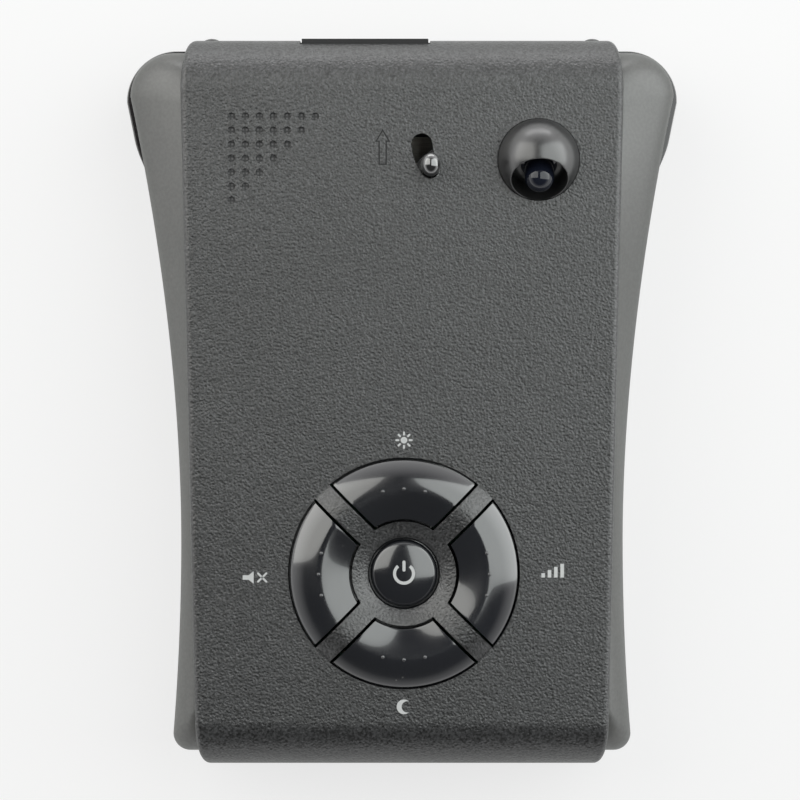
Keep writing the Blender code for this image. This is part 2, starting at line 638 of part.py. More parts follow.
def top_cover(finish):
    obj = place("top_cover", cover_strap(), finish)
    swell = [(0, COVER_UNDER + 0.5 * MM), (RING_RADIUS + 0.5 * MM, COVER_UNDER + 0.5 * MM)]
    swell.append((RING_RADIUS + 0.5 * MM, COVER_TOP - 0.3 * MM))
    for i in range(9):
        radius = RING_RADIUS + (DISH_RADIUS - RING_RADIUS) * i / 8
        swell.append((radius, COVER_TOP + ring_height(radius)))
    swell.append((0, COVER_TOP + DISH_RISE))
    add(obj, "ring_swell", turned(swell, 40, (RING_X, RING_Y, 0)))
    hole = CENTRE_RADIUS + BUTTON_CLEARANCE
    floor = DISH_RISE - DISH_SLOPE * (DISH_RADIUS - hole)
    rim = DISH_RISE + MM
    dish = [(0, COVER_UNDER - MM), (hole, COVER_UNDER - MM), (hole, COVER_TOP + floor)]
    dish += [(DISH_RADIUS + MM / DISH_SLOPE, COVER_TOP + rim), (0, COVER_TOP + rim)]
    cut(obj, "hub_dish", turned(dish, 30, (RING_X, RING_Y, 0)))
    outer, inner = RING_RADIUS, RING_INNER_RADIUS - BUTTON_CLEARANCE
    low, high = COVER_UNDER - MM, COVER_TOP + RING_CREST + MM
    well = [(outer, low), (outer, high), (inner, high), (inner, low)]
    for name, turns in (("right", 0), ("front", 1), ("left", 2), ("rear", 3)):
        sector = quadrant(well, SPOKE_WIDTH / 2, 10)
        cut(obj, f"well_{name}", turn_all(sector, ring_place(turns)))
    cut(obj, "grille", grille_holes())
    slot_from, slot_to = LEVER_REST, LEVER_REST - LEVER_SWING
    slot = curved_slot(LEVER_REACH, LEVER_SLOT / 2, slot_from, slot_to)
    cut(obj, "lever_slot", prism(slot, COVER_UNDER - MM, COVER_TOP + MM))
    dome_hole = rod(DOME_RADIUS + GAP, COVER_UNDER - MM, COVER_TOP + MM, 32, DOME_X, DOME_Y)
    cut(obj, "dome_hole", dome_hole)
    low, high = SOCKET_BOTTOM - GAP, SOCKET_BOTTOM + SOCKET_HEIGHT + GAP
    centre = (SOCKET_X, COVER_FRONT, (low + high) / 2)
    cut(obj, "socket_port", box(centre, (SOCKET_WIDTH + 2 * GAP, 10 * MM, high - low)))
    add(obj, "lever_post", rod(POST_RADIUS, POST_END, COVER_UNDER + GAP, 20, LEVER_X, LEVER_Y))
    lines = [arrow_outline(0.0), arrow_outline(ARROW_LINE)]
    bottom, top = COVER_TOP - ARROW_RISE, COVER_TOP + ARROW_RISE
    rings = [at(lines[0], bottom), at(lines[0], top), at(lines[1], top), at(lines[1], bottom)]
    arrow = loft(rings, wrap=True)
    bmesh.ops.translate(arrow, vec=(ARROW_X, ARROW_Y, 0), verts=arrow.verts)
    add(obj, "arrow", arrow)
    for side, name in ((-1, "left"), (1, "right")):
        nub = rod(NUB_RADIUS, 0.0, NUB_HEIGHT, 20, chamfer=0.4 * MM)
        reach = 0.45 * (NUB_REACH + COVER_WALL)
        bmesh.ops.scale(nub, vec=(1, reach / NUB_RADIUS, 1), verts=nub.verts)
        place_at = (side * NUB_SPACING / 2, COVER_FRONT + NUB_REACH - reach, FRONT_DRAPE + 0.6 * MM)
        bmesh.ops.translate(nub, vec=place_at, verts=nub.verts)
        add(obj, f"nub_{name}", nub)
    for x, y in screw_places():
        name = f"{'front' if y > 0 else 'rear'}_{'right' if x > 0 else 'left'}"
        foot = SCREW_SINK + 3 * MM + GAP
        add(obj, f"screw_post_{name}", rod(SCREW_POST, foot, COVER_UNDER + GAP, 12, x, y))
        bore = rod(SCREW_RADIUS + GAP / 2, foot - MM, SCREW_SINK + SCREW_LENGTH + MM, 10, x, y)
        cut(obj, f"thread_{name}", bore)
    return obj


def grille_holes():
    bm = bmesh.new()
    for row in range(GRILLE_ROWS):
        for column in range(GRILLE_ROWS - row):
            x = GRILLE_X + column * GRILLE_PITCH
            y = GRILLE_Y - row * GRILLE_PITCH
            place_at = Matrix.Translation((x, y, COVER_TOP - COVER_WALL / 2))
            bmesh.ops.create_cone(
                bm,
                cap_ends=True,
                segments=8,
                radius1=GRILLE_HOLE / 2,
                radius2=GRILLE_HOLE / 2,
                depth=COVER_WALL + 2 * MM,
                matrix=place_at,
            )
    return bm


def curved_slot(reach, half_width, start, end):
    """Round-ended slot that follows an arc about the lever's pivot."""
    centre = (LEVER_X, LEVER_Y)
    points = list(arc(centre, reach + half_width, start, end, 10))
    tip = (LEVER_X + reach * math.cos(end), LEVER_Y + reach * math.sin(end))
    points += list(arc(tip, half_width, end, end - math.pi, 8))[1:-1]
    points += arc(centre, reach - half_width, end, start, 10)
    tip = (LEVER_X + reach * math.cos(start), LEVER_Y + reach * math.sin(start))
    points += list(arc(tip, half_width, start + math.pi, start, 8))[1:-1]
    return points


def button_place(turns):
    turn = turns * math.pi / 2
    x, y = RING_CREST_RADIUS * math.cos(turn), RING_CREST_RADIUS * math.sin(turn)
    return RING_X + x, RING_Y + y


def quadrant_button(name, turns, finish):
    outer = RING_RADIUS - BUTTON_CLEARANCE
    inner = RING_INNER_RADIUS
    foot = BUTTON_SEAT - BUTTON_FLANGE_HEIGHT
    profile = [(outer + BUTTON_FLANGE, foot), (outer + BUTTON_FLANGE, BUTTON_SEAT)]
    profile += [(outer, BUTTON_SEAT), (outer, COVER_TOP - BUTTON_EDGE / 2)]
    for i in range(7):
        radius = outer - BUTTON_EDGE + (inner - outer + 2 * BUTTON_EDGE) * i / 6
        profile.append((radius, COVER_TOP + ring_height(radius) + BUTTON_RISE))
    profile += [(inner, COVER_TOP + ring_height(inner) - BUTTON_EDGE / 2), (inner, BUTTON_SEAT)]
    profile += [(inner - BUTTON_FLANGE, BUTTON_SEAT), (inner - BUTTON_FLANGE, foot)]
    solid = quadrant(profile, SPOKE_WIDTH / 2 + BUTTON_CLEARANCE, 10)
    obj = place(name, turn_all(solid, ring_place(turns)), finish)
    dots = bmesh.new()
    crest = COVER_TOP + RING_CREST + BUTTON_RISE
    for angle in (-DOT_ANGLE, 0.0, DOT_ANGLE):
        x, y = RING_CREST_RADIUS * math.cos(angle), RING_CREST_RADIUS * math.sin(angle)
        place_at = Matrix.Translation((x, y, crest))
        bmesh.ops.create_uvsphere(
            dots, u_segments=5, v_segments=4, radius=DOT_RADIUS, matrix=place_at
        )
    add(obj, f"{name}_dots", turn_all(dots, ring_place(turns)))
    stem = rod(STEM_RADIUS, STEM_END, COVER_TOP, 12, RING_CREST_RADIUS)
    add(obj, f"{name}_stem", turn_all(stem, ring_place(turns)))
    pivot(obj, (*button_place(turns), COVER_TOP))
    return obj


def centre_button(finish):
    foot = BUTTON_SEAT - BUTTON_FLANGE_HEIGHT
    skirt = CENTRE_RADIUS + BUTTON_CLEARANCE + BUTTON_FLANGE
    profile = [(0, STEM_END), (STEM_RADIUS, STEM_END), (STEM_RADIUS, foot), (skirt, foot)]
    profile += [(skirt, BUTTON_SEAT), (CENTRE_RADIUS, BUTTON_SEAT)]
    edge = COVER_TOP + CENTRE_RISE - CENTRE_CROWN
    for i in range(7):
        share = i / 6
        crown = math.sqrt(max(0.0, 1 - (1 - share) ** 2.6))
        profile.append((CENTRE_RADIUS * (1 - share), edge + CENTRE_CROWN * crown))
    obj = place("button_centre", turned(profile, 28, (RING_X, RING_Y, 0)), finish)
    pivot(obj, (RING_X, RING_Y, COVER_TOP))
    return obj


def stadium(start, end, radius):
    """Round-ended bar between two points."""
    along = math.atan2(end[1] - start[1], end[0] - start[0])
    outline = list(arc(end, radius, along - math.pi / 2, along + math.pi / 2, 8))
    return outline + list(arc(start, radius, along + math.pi / 2, along + 1.5 * math.pi, 8))


def about_lever(reach, angle):
    return LEVER_X + reach * math.cos(angle), LEVER_Y + reach * math.sin(angle)


def release_lever(finish):
    bottom, top = LEVER_BOTTOM, LEVER_BOTTOM + LEVER_PLATE
    hub = rod(LEVER_HUB, bottom, top, 24, LEVER_X, LEVER_Y)
    obj = place("release_lever", hub, finish)
    knob_at = about_lever(LEVER_REACH, LEVER_REST)
    tooth_at = about_lever(TOOTH_REACH, LEVER_REST + TOOTH_LEAD)
    arm = stadium((LEVER_X, LEVER_Y), knob_at, KNOB_RADIUS + 0.9 * MM)
    add(obj, "knob_arm", prism(arm, bottom, top - 0.01 * MM))
    arm = stadium((LEVER_X, LEVER_Y), tooth_at, KNOB_RADIUS)
    add(obj, "tooth_arm", prism(arm, bottom + 0.01 * MM, top - 0.02 * MM))
    tooth = rod(KNOB_RADIUS * 0.8, bottom - TOOTH_DEPTH, top - 0.5 * MM, 12, *tooth_at)
    add(obj, "tooth", tooth)
    neck, head = KNOB_RADIUS, KNOB_RADIUS * 1.1
    crown = COVER_TOP + KNOB_RISE - head
    profile = [(0, bottom + 0.5 * MM), (neck, bottom + 0.5 * MM), (neck, COVER_TOP + MM)]
    profile += [(head, crown - 0.6 * MM)]
    for i in range(5):
        angle = math.pi / 2 * i / 4
        profile.append((head * math.cos(angle), crown + head * math.sin(angle)))
    knob = turned(profile, 20)
    for vert in knob.verts:
        if vert.co.z > COVER_TOP + 1.5 * MM:
            vert.co.y = vert.co.y * KNOB_STRETCH + KNOB_SHIFT
    bmesh.ops.translate(knob, vec=(*knob_at, 0), verts=knob.verts)
    add(obj, "knob", knob)
    bore = rod(POST_RADIUS + GAP, bottom - MM, top + MM, 24, LEVER_X, LEVER_Y)
    cut(obj, "lever_bore", bore)
    pivot(obj, (LEVER_X, LEVER_Y, bottom))
    return obj


def lever_clip(finish):
    """Washer that holds the lever and its spring on the post."""
    bottom, inner = POST_END + GAP, POST_RADIUS + GAP / 2
    top = bottom + CLIP_THICKNESS
    profile = [(inner, bottom), (LEVER_HUB, bottom), (LEVER_HUB, top), (inner, top)]
    return place("lever_clip", turned(profile, 20, (LEVER_X, LEVER_Y, 0), ring=True), finish)


def lever_spring(finish):
    """Torsion spring round the post: a coil with a short leg at each end."""
    coil = POST_RADIUS + GAP + SPRING_WIRE / 2
    top = LEVER_BOTTOM - GAP - SPRING_WIRE / 2
    bottom = POST_END + 2 * GAP + CLIP_THICKNESS + SPRING_WIRE / 2
    turns = SPRING_TURNS
    points = [(coil, -2.2 * MM, bottom)]
    for i in range(turns * SPRING_STEPS + 1):
        angle = FULL_TURN * i / SPRING_STEPS
        height = bottom + (top - bottom) * i / (turns * SPRING_STEPS)
        points.append((coil * math.cos(angle), coil * math.sin(angle), height))
    points.append((coil, 2.2 * MM, top))
    curve = bpy.data.curves.new("lever_spring", "CURVE")
    curve.dimensions = "3D"
    curve.bevel_depth = SPRING_WIRE / 2
    curve.bevel_resolution = 1
    curve.use_fill_caps = True
    spline = curve.splines.new("POLY")
    spline.points.add(len(points) - 1)
    for point, place_at in zip(spline.points, points):
        point.co = (*place_at, 1.0)
    obj = bpy.data.objects.new("lever_spring", curve)
    obj.location = (LEVER_X, LEVER_Y, 0)
    bpy.context.scene.collection.objects.link(obj)
    curve.materials.append(finish)
    return obj


def bracket_socket(finish):
    middle = SOCKET_BOTTOM + SOCKET_HEIGHT / 2
    centre = (SOCKET_X, SOCKET_FRONT - SOCKET_DEPTH / 2, middle)
    obj = place("bracket_socket", box(centre, (SOCKET_WIDTH, SOCKET_DEPTH, SOCKET_HEIGHT)), finish)
    width, height = SOCKET_WIDTH - 2 * SOCKET_WALL, SOCKET_HEIGHT - 2 * SOCKET_WALL
    centre = (SOCKET_X, SOCKET_FRONT - SOCKET_DEPTH / 2 + SOCKET_WALL, middle)
    cut(obj, "blade_space", box(centre, (width, SOCKET_DEPTH, height)))
    tooth_angle = LEVER_REST + TOOTH_LEAD
    slot = curved_slot(
        TOOTH_REACH,
        KNOB_RADIUS * 0.8 + GAP,
        tooth_angle + SLOT_LEAD,
        tooth_angle - LEVER_SWING - SLOT_LEAD,
    )
    low = LEVER_BOTTOM - TOOTH_DEPTH - GAP
    cut(obj, "tooth_slot", prism(slot, low, LEVER_BOTTOM + MM))
    return obj


def dome_matrix():
    """Stands +Z along the axis of the hood's mouth, from the centre of its sphere."""
    lean = Matrix.Rotation(DOME_TILT, 4, "X")
    return Matrix.Translation((DOME_X, DOME_Y, COVER_TOP)) @ lean


def sensor_dome(finish):
    flange = DOME_RADIUS + GAP + DOME_FLANGE
    foot = BUTTON_SEAT - BUTTON_FLANGE_HEIGHT
    profile = [(0, foot), (flange, foot), (flange, BUTTON_SEAT), (DOME_RADIUS, BUTTON_SEAT)]
    for i in range(9):
        angle = math.pi / 2 * i / 8
        height = COVER_TOP + DOME_RADIUS * math.sin(angle)
        profile.append((DOME_RADIUS * math.cos(angle), height))
    obj = place("sensor_dome", turned(profile, 28, (DOME_X, DOME_Y, 0)), finish)
    mouth = math.sqrt(DOME_RADIUS**2 - MOUTH_OFFSET**2) - MOUTH_WALL
    face = turn_all(rod(2 * DOME_RADIUS, MOUTH_OFFSET, 2 * DOME_RADIUS, 8), dome_matrix())
    cut(obj, "mouth_plane", face)
    bore_end = MOUTH_OFFSET - MOUTH_DEPTH
    profile = [(0, bore_end), (mouth - MM, bore_end), (mouth, bore_end + MM)]
    profile += [(mouth, MOUTH_OFFSET + MM), (0, MOUTH_OFFSET + MM)]
    cut(obj, "mouth_bore", turn_all(turned(profile, 24), dome_matrix()))
    return obj


def sensor_lens(finish):
    """Photodiode: a collar, a barrel and a round nose on the hood's axis."""
    foot = MOUTH_OFFSET - MOUTH_DEPTH + GAP
    collar = SENSOR_RADIUS + SENSOR_COLLAR
    nose = DOME_RADIUS - SENSOR_RADIUS
    profile = [(0, foot), (collar, foot), (collar, foot + MM), (SENSOR_RADIUS, foot + MM)]
    for i in range(7):
        angle = math.pi / 2 * i / 6
        height = nose + SENSOR_RADIUS * math.sin(angle)
        profile.append((SENSOR_RADIUS * math.cos(angle), height))
    return place("sensor_lens", turn_all(turned(profile, 16), dome_matrix()), finish)


def speaker(finish):
    """Miniature speaker under the grille: magnet, basket, roll and cone."""
    top = COVER_UNDER - GAP
    bottom = top - SPEAKER_HEIGHT
    radius, magnet = SPEAKER_RADIUS, SPEAKER_RADIUS * 0.55
    profile = [(0, bottom), (magnet, bottom), (magnet, bottom + 0.35 * SPEAKER_HEIGHT)]
    profile += [(radius - MM, top - 1.2 * MM), (radius, top - 1.0 * MM), (radius, top)]
    profile += [(radius - 0.7 * MM, top), (radius - 1.1 * MM, top - 0.5 * MM)]
    profile += [(radius - 1.9 * MM, top - 0.2 * MM), (radius - 2.6 * MM, top - 0.6 * MM)]
    profile += [(0.35 * radius, top - 1.5 * MM), (0.22 * radius, top - 1.1 * MM), (0, top - MM)]
    return place("speaker", turned(profile, 20, (SPEAKER_X, SPEAKER_Y, 0)), finish)


def front_lens(finish):
    return place("front_lens", lens_band(0.0, 0.0), finish)


def display_window(finish):
    return place("display_window", rear_window(0.0, 0.0), finish)


def main_board(finish):
    length = BOARD_FRONT_Y - BOARD_REAR_Y
    centre = (0, (BOARD_FRONT_Y + BOARD_REAR_Y) / 2, BOARD_BOTTOM + BOARD_THICKNESS / 2)
    outline = rounded_rectangle(BOARD_HALF, length / 2, 1.5 * MM)
    shape = prism(outline, -BOARD_THICKNESS / 2, BOARD_THICKNESS / 2)
    return place("main_board", turn_all(shape, Matrix.Translation(centre)), finish)


def tact_switch(name, x, y, finish):
    bottom = BOARD_TOP + GAP
    body = box((x, y, bottom + SWITCH_BODY / 2), (SWITCH_SIDE, SWITCH_SIDE, SWITCH_BODY))
    obj = place(name, body, finish)
    plunger = rod(PLUNGER_RADIUS, bottom + SWITCH_BODY / 2, PLUNGER_TOP, 16, x, y, 0.2 * MM)
    add(obj, f"{name}_plunger", plunger)
    return obj


def rectangle(half_width, low, high, y):
    return [(-half_width, y, low), (half_width, y, low), (half_width, y, high), (-half_width, y, high)]


def horn_antenna(finish):
    """Pyramidal horn, open towards the windscreen and closed at its throat."""
    low, high = BOTTOM_WALL + GAP, BOTTOM_WALL + GAP + HORN_HEIGHT
    middle = (low + high) / 2
    front = BODY_FRONT - LENS_WALL - 2.6 * MM
    throat = front - HORN_LENGTH
    waist = throat + HORN_LENGTH * 0.3
    slim = HORN_HEIGHT * 0.32
    wall = HORN_WALL
    rings = [
        rectangle(THROAT_HALF, middle - slim, middle + slim, throat),
        rectangle(THROAT_HALF, middle - slim, middle + slim, waist),
        rectangle(HORN_HALF, low, high, front - MM),
        rectangle(HORN_HALF, low, high, front),
        rectangle(HORN_HALF - wall, low + wall, high - wall, front),
        rectangle(THROAT_HALF - wall, middle - slim + wall, middle + slim - wall, waist),
        rectangle(THROAT_HALF - wall, middle - slim + wall, middle + slim - wall, throat + 2 * wall),
    ]
    return place("horn_antenna", loft(rings), finish)


def shield_can(finish):
    """Screened box of the microwave stage, behind the horn's throat."""
    rear_end = BODY_FRONT - LENS_WALL - 2.6 * MM - HORN_LENGTH - GAP
    low = BOTTOM_WALL + GAP
    centre = (0, rear_end - CAN_LENGTH / 2, low + CAN_HEIGHT / 2)
    shape = box(centre, (2 * CAN_HALF, CAN_LENGTH, CAN_HEIGHT))
    obj = place("shield_can", shape, finish)
    bevel = obj.modifiers.new("Folded edges", "BEVEL")
    bevel.width = 0.6 * MM
    bevel.segments = 2
    return obj


def laser_receiver(finish):
    """Holder with a collecting lens behind the infrared window."""
    low = BOTTOM_WALL + GAP
    height = 2 * EYE_RADIUS + 2 * MM
    front = BODY_FRONT - LENS_WALL - 2.6 * MM
    centre = (EYE_X, front - 2 * MM - EYE_LENGTH / 2, low + height / 2)
    body = box(centre, (2 * EYE_RADIUS, EYE_LENGTH, height))
    obj = place("laser_receiver", body, finish)
    profile = [(0, -2 * MM), (EYE_RADIUS * 0.85, -2 * MM)]
    for i in range(7):
        angle = math.pi / 2 * i / 6
        profile.append((EYE_RADIUS * 0.85 * math.cos(angle), 1.8 * MM * math.sin(angle)))
    aim = Matrix.Translation((EYE_X, front - 2 * MM, low + height / 2))
    lens = turn_all(turned(profile, 14), aim @ Matrix.Rotation(-math.pi / 2, 4, "X"))
    add(obj, "collecting_lens", lens)
    return obj


def display_module(finish):
    """Character display: a backed strip with one raised cell for each letter."""
    face = COVER_FRONT - WINDOW_SINK - WINDOW_WALL - GAP
    back = face - DISPLAY_DEPTH
    relief, slit = 0.4 * MM, 0.35 * MM
    cell = 2 * DISPLAY_HALF / DISPLAY_LETTERS
    outline = [(-DISPLAY_HALF, -back)]
    for i in range(DISPLAY_LETTERS):
        left = -DISPLAY_HALF + i * cell
        outline += [(left + slit, -face), (left + cell - slit, -face)]
        if i < DISPLAY_LETTERS - 1:
            outline += [(left + cell - slit, relief - face), (left + cell + slit, relief - face)]
    outline.append((DISPLAY_HALF, -back))
    low = WINDOW_BOTTOM + MM
    return place("display_module", prism(outline, low, low + DISPLAY_HEIGHT), finish)


def power_jack(finish):
    """Direct-current inlet in the left side, with its centre pin."""
    x = -rim_half(JACK_Y) + housing_side_inset(JACK_HEIGHT)
    sleeve = JACK_BORE + MM
    barrel = turn_all(rod(sleeve, 0.2 * MM, 4 * MM, 24), jack_matrix(x))
    obj = place("power_jack", barrel, finish)
    start = HOUSING_WALL + 5 * GAP
    centre = (x + start + JACK_LENGTH / 2, JACK_Y, JACK_HEIGHT)
    body = box(centre, (JACK_LENGTH, JACK_WIDTH, JACK_WIDTH))
    add(obj, "jack_body", body)
    depth = JACK_LENGTH * 0.75
    pin, bore = JACK_PIN, JACK_BORE
    tip = 1.5 * MM
    space = [(pin, depth), (pin, tip + 0.6 * MM), (pin * 0.6, tip), (0, tip), (0, -MM)]
    space += [(bore, -MM), (bore, depth)]
    cut(obj, "jack_bore", turn_all(turned_open(space, 20), jack_matrix(x)))
    return obj


def turned_open(profile, segments):
    """Revolves a profile whose first and last points close round a core."""
    bm = bmesh.new()
    verts = [bm.verts.new((radius, 0.0, height)) for radius, height in profile]
    edges = [
        bm.edges.new(pair)
        for pair in zip(verts, verts[1:] + verts[:1])
        if any(vert.co.x > 1e-9 for vert in pair)
    ]
    bmesh.ops.spin(bm, geom=verts + edges, angle=FULL_TURN, steps=segments, axis=(0, 0, 1))
    bmesh.ops.remove_doubles(bm, verts=bm.verts, dist=1e-6)
    return bm


def case_screw(name, x, y, finish):
    """Pan-headed screw with a cross recess, driven upwards."""
    seat, head = SCREW_SINK - GAP, 1.6 * MM
    profile = [(0, seat - head), (SCREW_HEAD * 0.7, seat - head)]
    profile += [(SCREW_HEAD, seat - 0.5 * head), (SCREW_HEAD, seat)]
    profile += [(SCREW_RADIUS, seat), (SCREW_RADIUS, seat + SCREW_LENGTH - MM)]
    profile += [(0.3 * MM, seat + SCREW_LENGTH), (0, seat + SCREW_LENGTH)]
    obj = place(name, turned(profile, 12, (x, y, 0)), finish)
    slot = (0.6 * MM, SCREW_HEAD * 1.1, 1.6 * MM)
    cross = box((x, y, seat - head), slot)
    cut(obj, f"{name}_slot", cross)
    cut(obj, f"{name}_cross", box((x, y, seat - head), (slot[1], slot[0], slot[2] - 0.02 * MM)))
    return obj


def build():
    clear_scene()
    cover = material("cover_grained_black", (0.030, 0.030, 0.031), 0.55)
    shell = material("housing_satin_black", (0.045, 0.045, 0.046), 0.45)
    smoke = material("infrared_smoke", (0.012, 0.010, 0.012), 0.08)
    glass = material("display_smoke", (0.010, 0.010, 0.012), 0.06)
    key = material("button_gloss", (0.012, 0.014, 0.018), 0.12)
    hood = material("hood_satin", (0.012, 0.012, 0.014), 0.35)
    diode = material("diode_dark", (0.008, 0.009, 0.014), 0.05)
    knob = material("lever_gloss", (0.008, 0.008, 0.009), 0.18)
    socket = material("socket_black", (0.014, 0.014, 0.015), 0.5)
    steel = material("spring_steel", (0.55, 0.55, 0.56), 0.3, 1.0)
    zinc = material("screw_black_zinc", (0.10, 0.10, 0.11), 0.4, 1.0)
    brass = material("horn_metal", (0.62, 0.60, 0.55), 0.35, 1.0)
    tin = material("can_tinned", (0.65, 0.65, 0.64), 0.4, 1.0)
    laminate = material("board_green", (0.02, 0.10, 0.05), 0.45)
    switch = material("switch_black", (0.02, 0.02, 0.02), 0.5)
    paper = material("speaker_paper", (0.05, 0.05, 0.055), 0.8)
    display = material("display_grey", (0.18, 0.18, 0.19), 0.5)

    top_cover(cover)
    upper_housing(shell)
    lower_housing(shell)
    front_lens(smoke)
    display_window(glass)
    bracket_socket(socket)
    sensor_dome(hood)
    sensor_lens(diode)
    release_lever(knob)
    lever_clip(steel)
    lever_spring(steel)
    centre_button(key)
    tact_switch("switch_centre", RING_X, RING_Y, switch)
    for name, turns in (("right", 0), ("front", 1), ("left", 2), ("rear", 3)):
        quadrant_button(f"button_{name}", turns, key)
        tact_switch(f"switch_{name}", *button_place(turns), switch)
    speaker(paper)
    main_board(laminate)
    horn_antenna(brass)
    shield_can(tin)
    laser_receiver(switch)
    display_module(display)
    power_jack(socket)
    for x, y in screw_places():
        name = f"{'front' if y > 0 else 'rear'}_{'right' if x > 0 else 'left'}"
        case_screw(f"case_screw_{name}", x, y, zinc)


build()
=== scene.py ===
"""Windscreen radar detector: the finished look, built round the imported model.

Sizes are in metres in the model's own frame: the origin at the centre of the underside,
+Y towards the windscreen and +Z up.
"""

from __future__ import annotations

import logging
import math
from dataclasses import dataclass, field
from enum import Enum
from typing import Callable, Iterable, Sequence

import bmesh
import bpy
from mathutils import Matrix, Vector

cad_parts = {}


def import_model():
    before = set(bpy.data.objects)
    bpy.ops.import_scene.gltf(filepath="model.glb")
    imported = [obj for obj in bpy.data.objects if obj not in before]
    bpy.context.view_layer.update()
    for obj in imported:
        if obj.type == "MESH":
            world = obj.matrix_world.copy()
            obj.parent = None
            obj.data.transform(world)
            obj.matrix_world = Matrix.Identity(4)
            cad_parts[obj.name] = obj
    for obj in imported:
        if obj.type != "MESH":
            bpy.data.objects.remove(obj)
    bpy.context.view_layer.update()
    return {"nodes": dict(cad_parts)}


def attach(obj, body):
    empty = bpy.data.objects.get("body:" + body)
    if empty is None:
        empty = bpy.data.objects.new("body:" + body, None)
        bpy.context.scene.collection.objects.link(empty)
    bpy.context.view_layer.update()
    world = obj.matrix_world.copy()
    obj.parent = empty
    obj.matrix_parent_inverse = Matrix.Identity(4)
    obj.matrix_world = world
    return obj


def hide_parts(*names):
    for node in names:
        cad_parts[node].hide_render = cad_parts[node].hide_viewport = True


LOG = logging.getLogger("radar_detector")
MM = 0.001
GAP = 0.3 * MM
TURN = 2 * math.pi
ON_AXIS = 1e-9  # distance from the axis below which a corner lies on it
MERGE = 1e-7  # distance below which corners are one
WAVE_TURN = 6.28  # what a wave texture's scale counts as one turn
SHADE_MARGIN = 8.0  # degrees by which smooth shading goes past the rounded edges

Point = tuple[float, float, float]
Flat = tuple[float, float]


class Body(Enum):
    """The rigid bodies that pieces move with."""

    CASE = "case"
    LEVER = "release_lever"
    CENTRE = "button_centre"
    FRONT = "button_front"
    LEFT = "button_left"
    REAR = "button_rear"
    RIGHT = "button_right"


class Combine(Enum):
    """What a tool body does to the piece it meets."""

    CUT = "DIFFERENCE"
    ADD = "UNION"


class Quarter(Enum):
    """The four places round the button pad, in quarter turns from +X."""

    RIGHT = 0
    FRONT = 1
    LEFT = 2
    REAR = 3


# ------------------------------------------------------------------ modelling bench


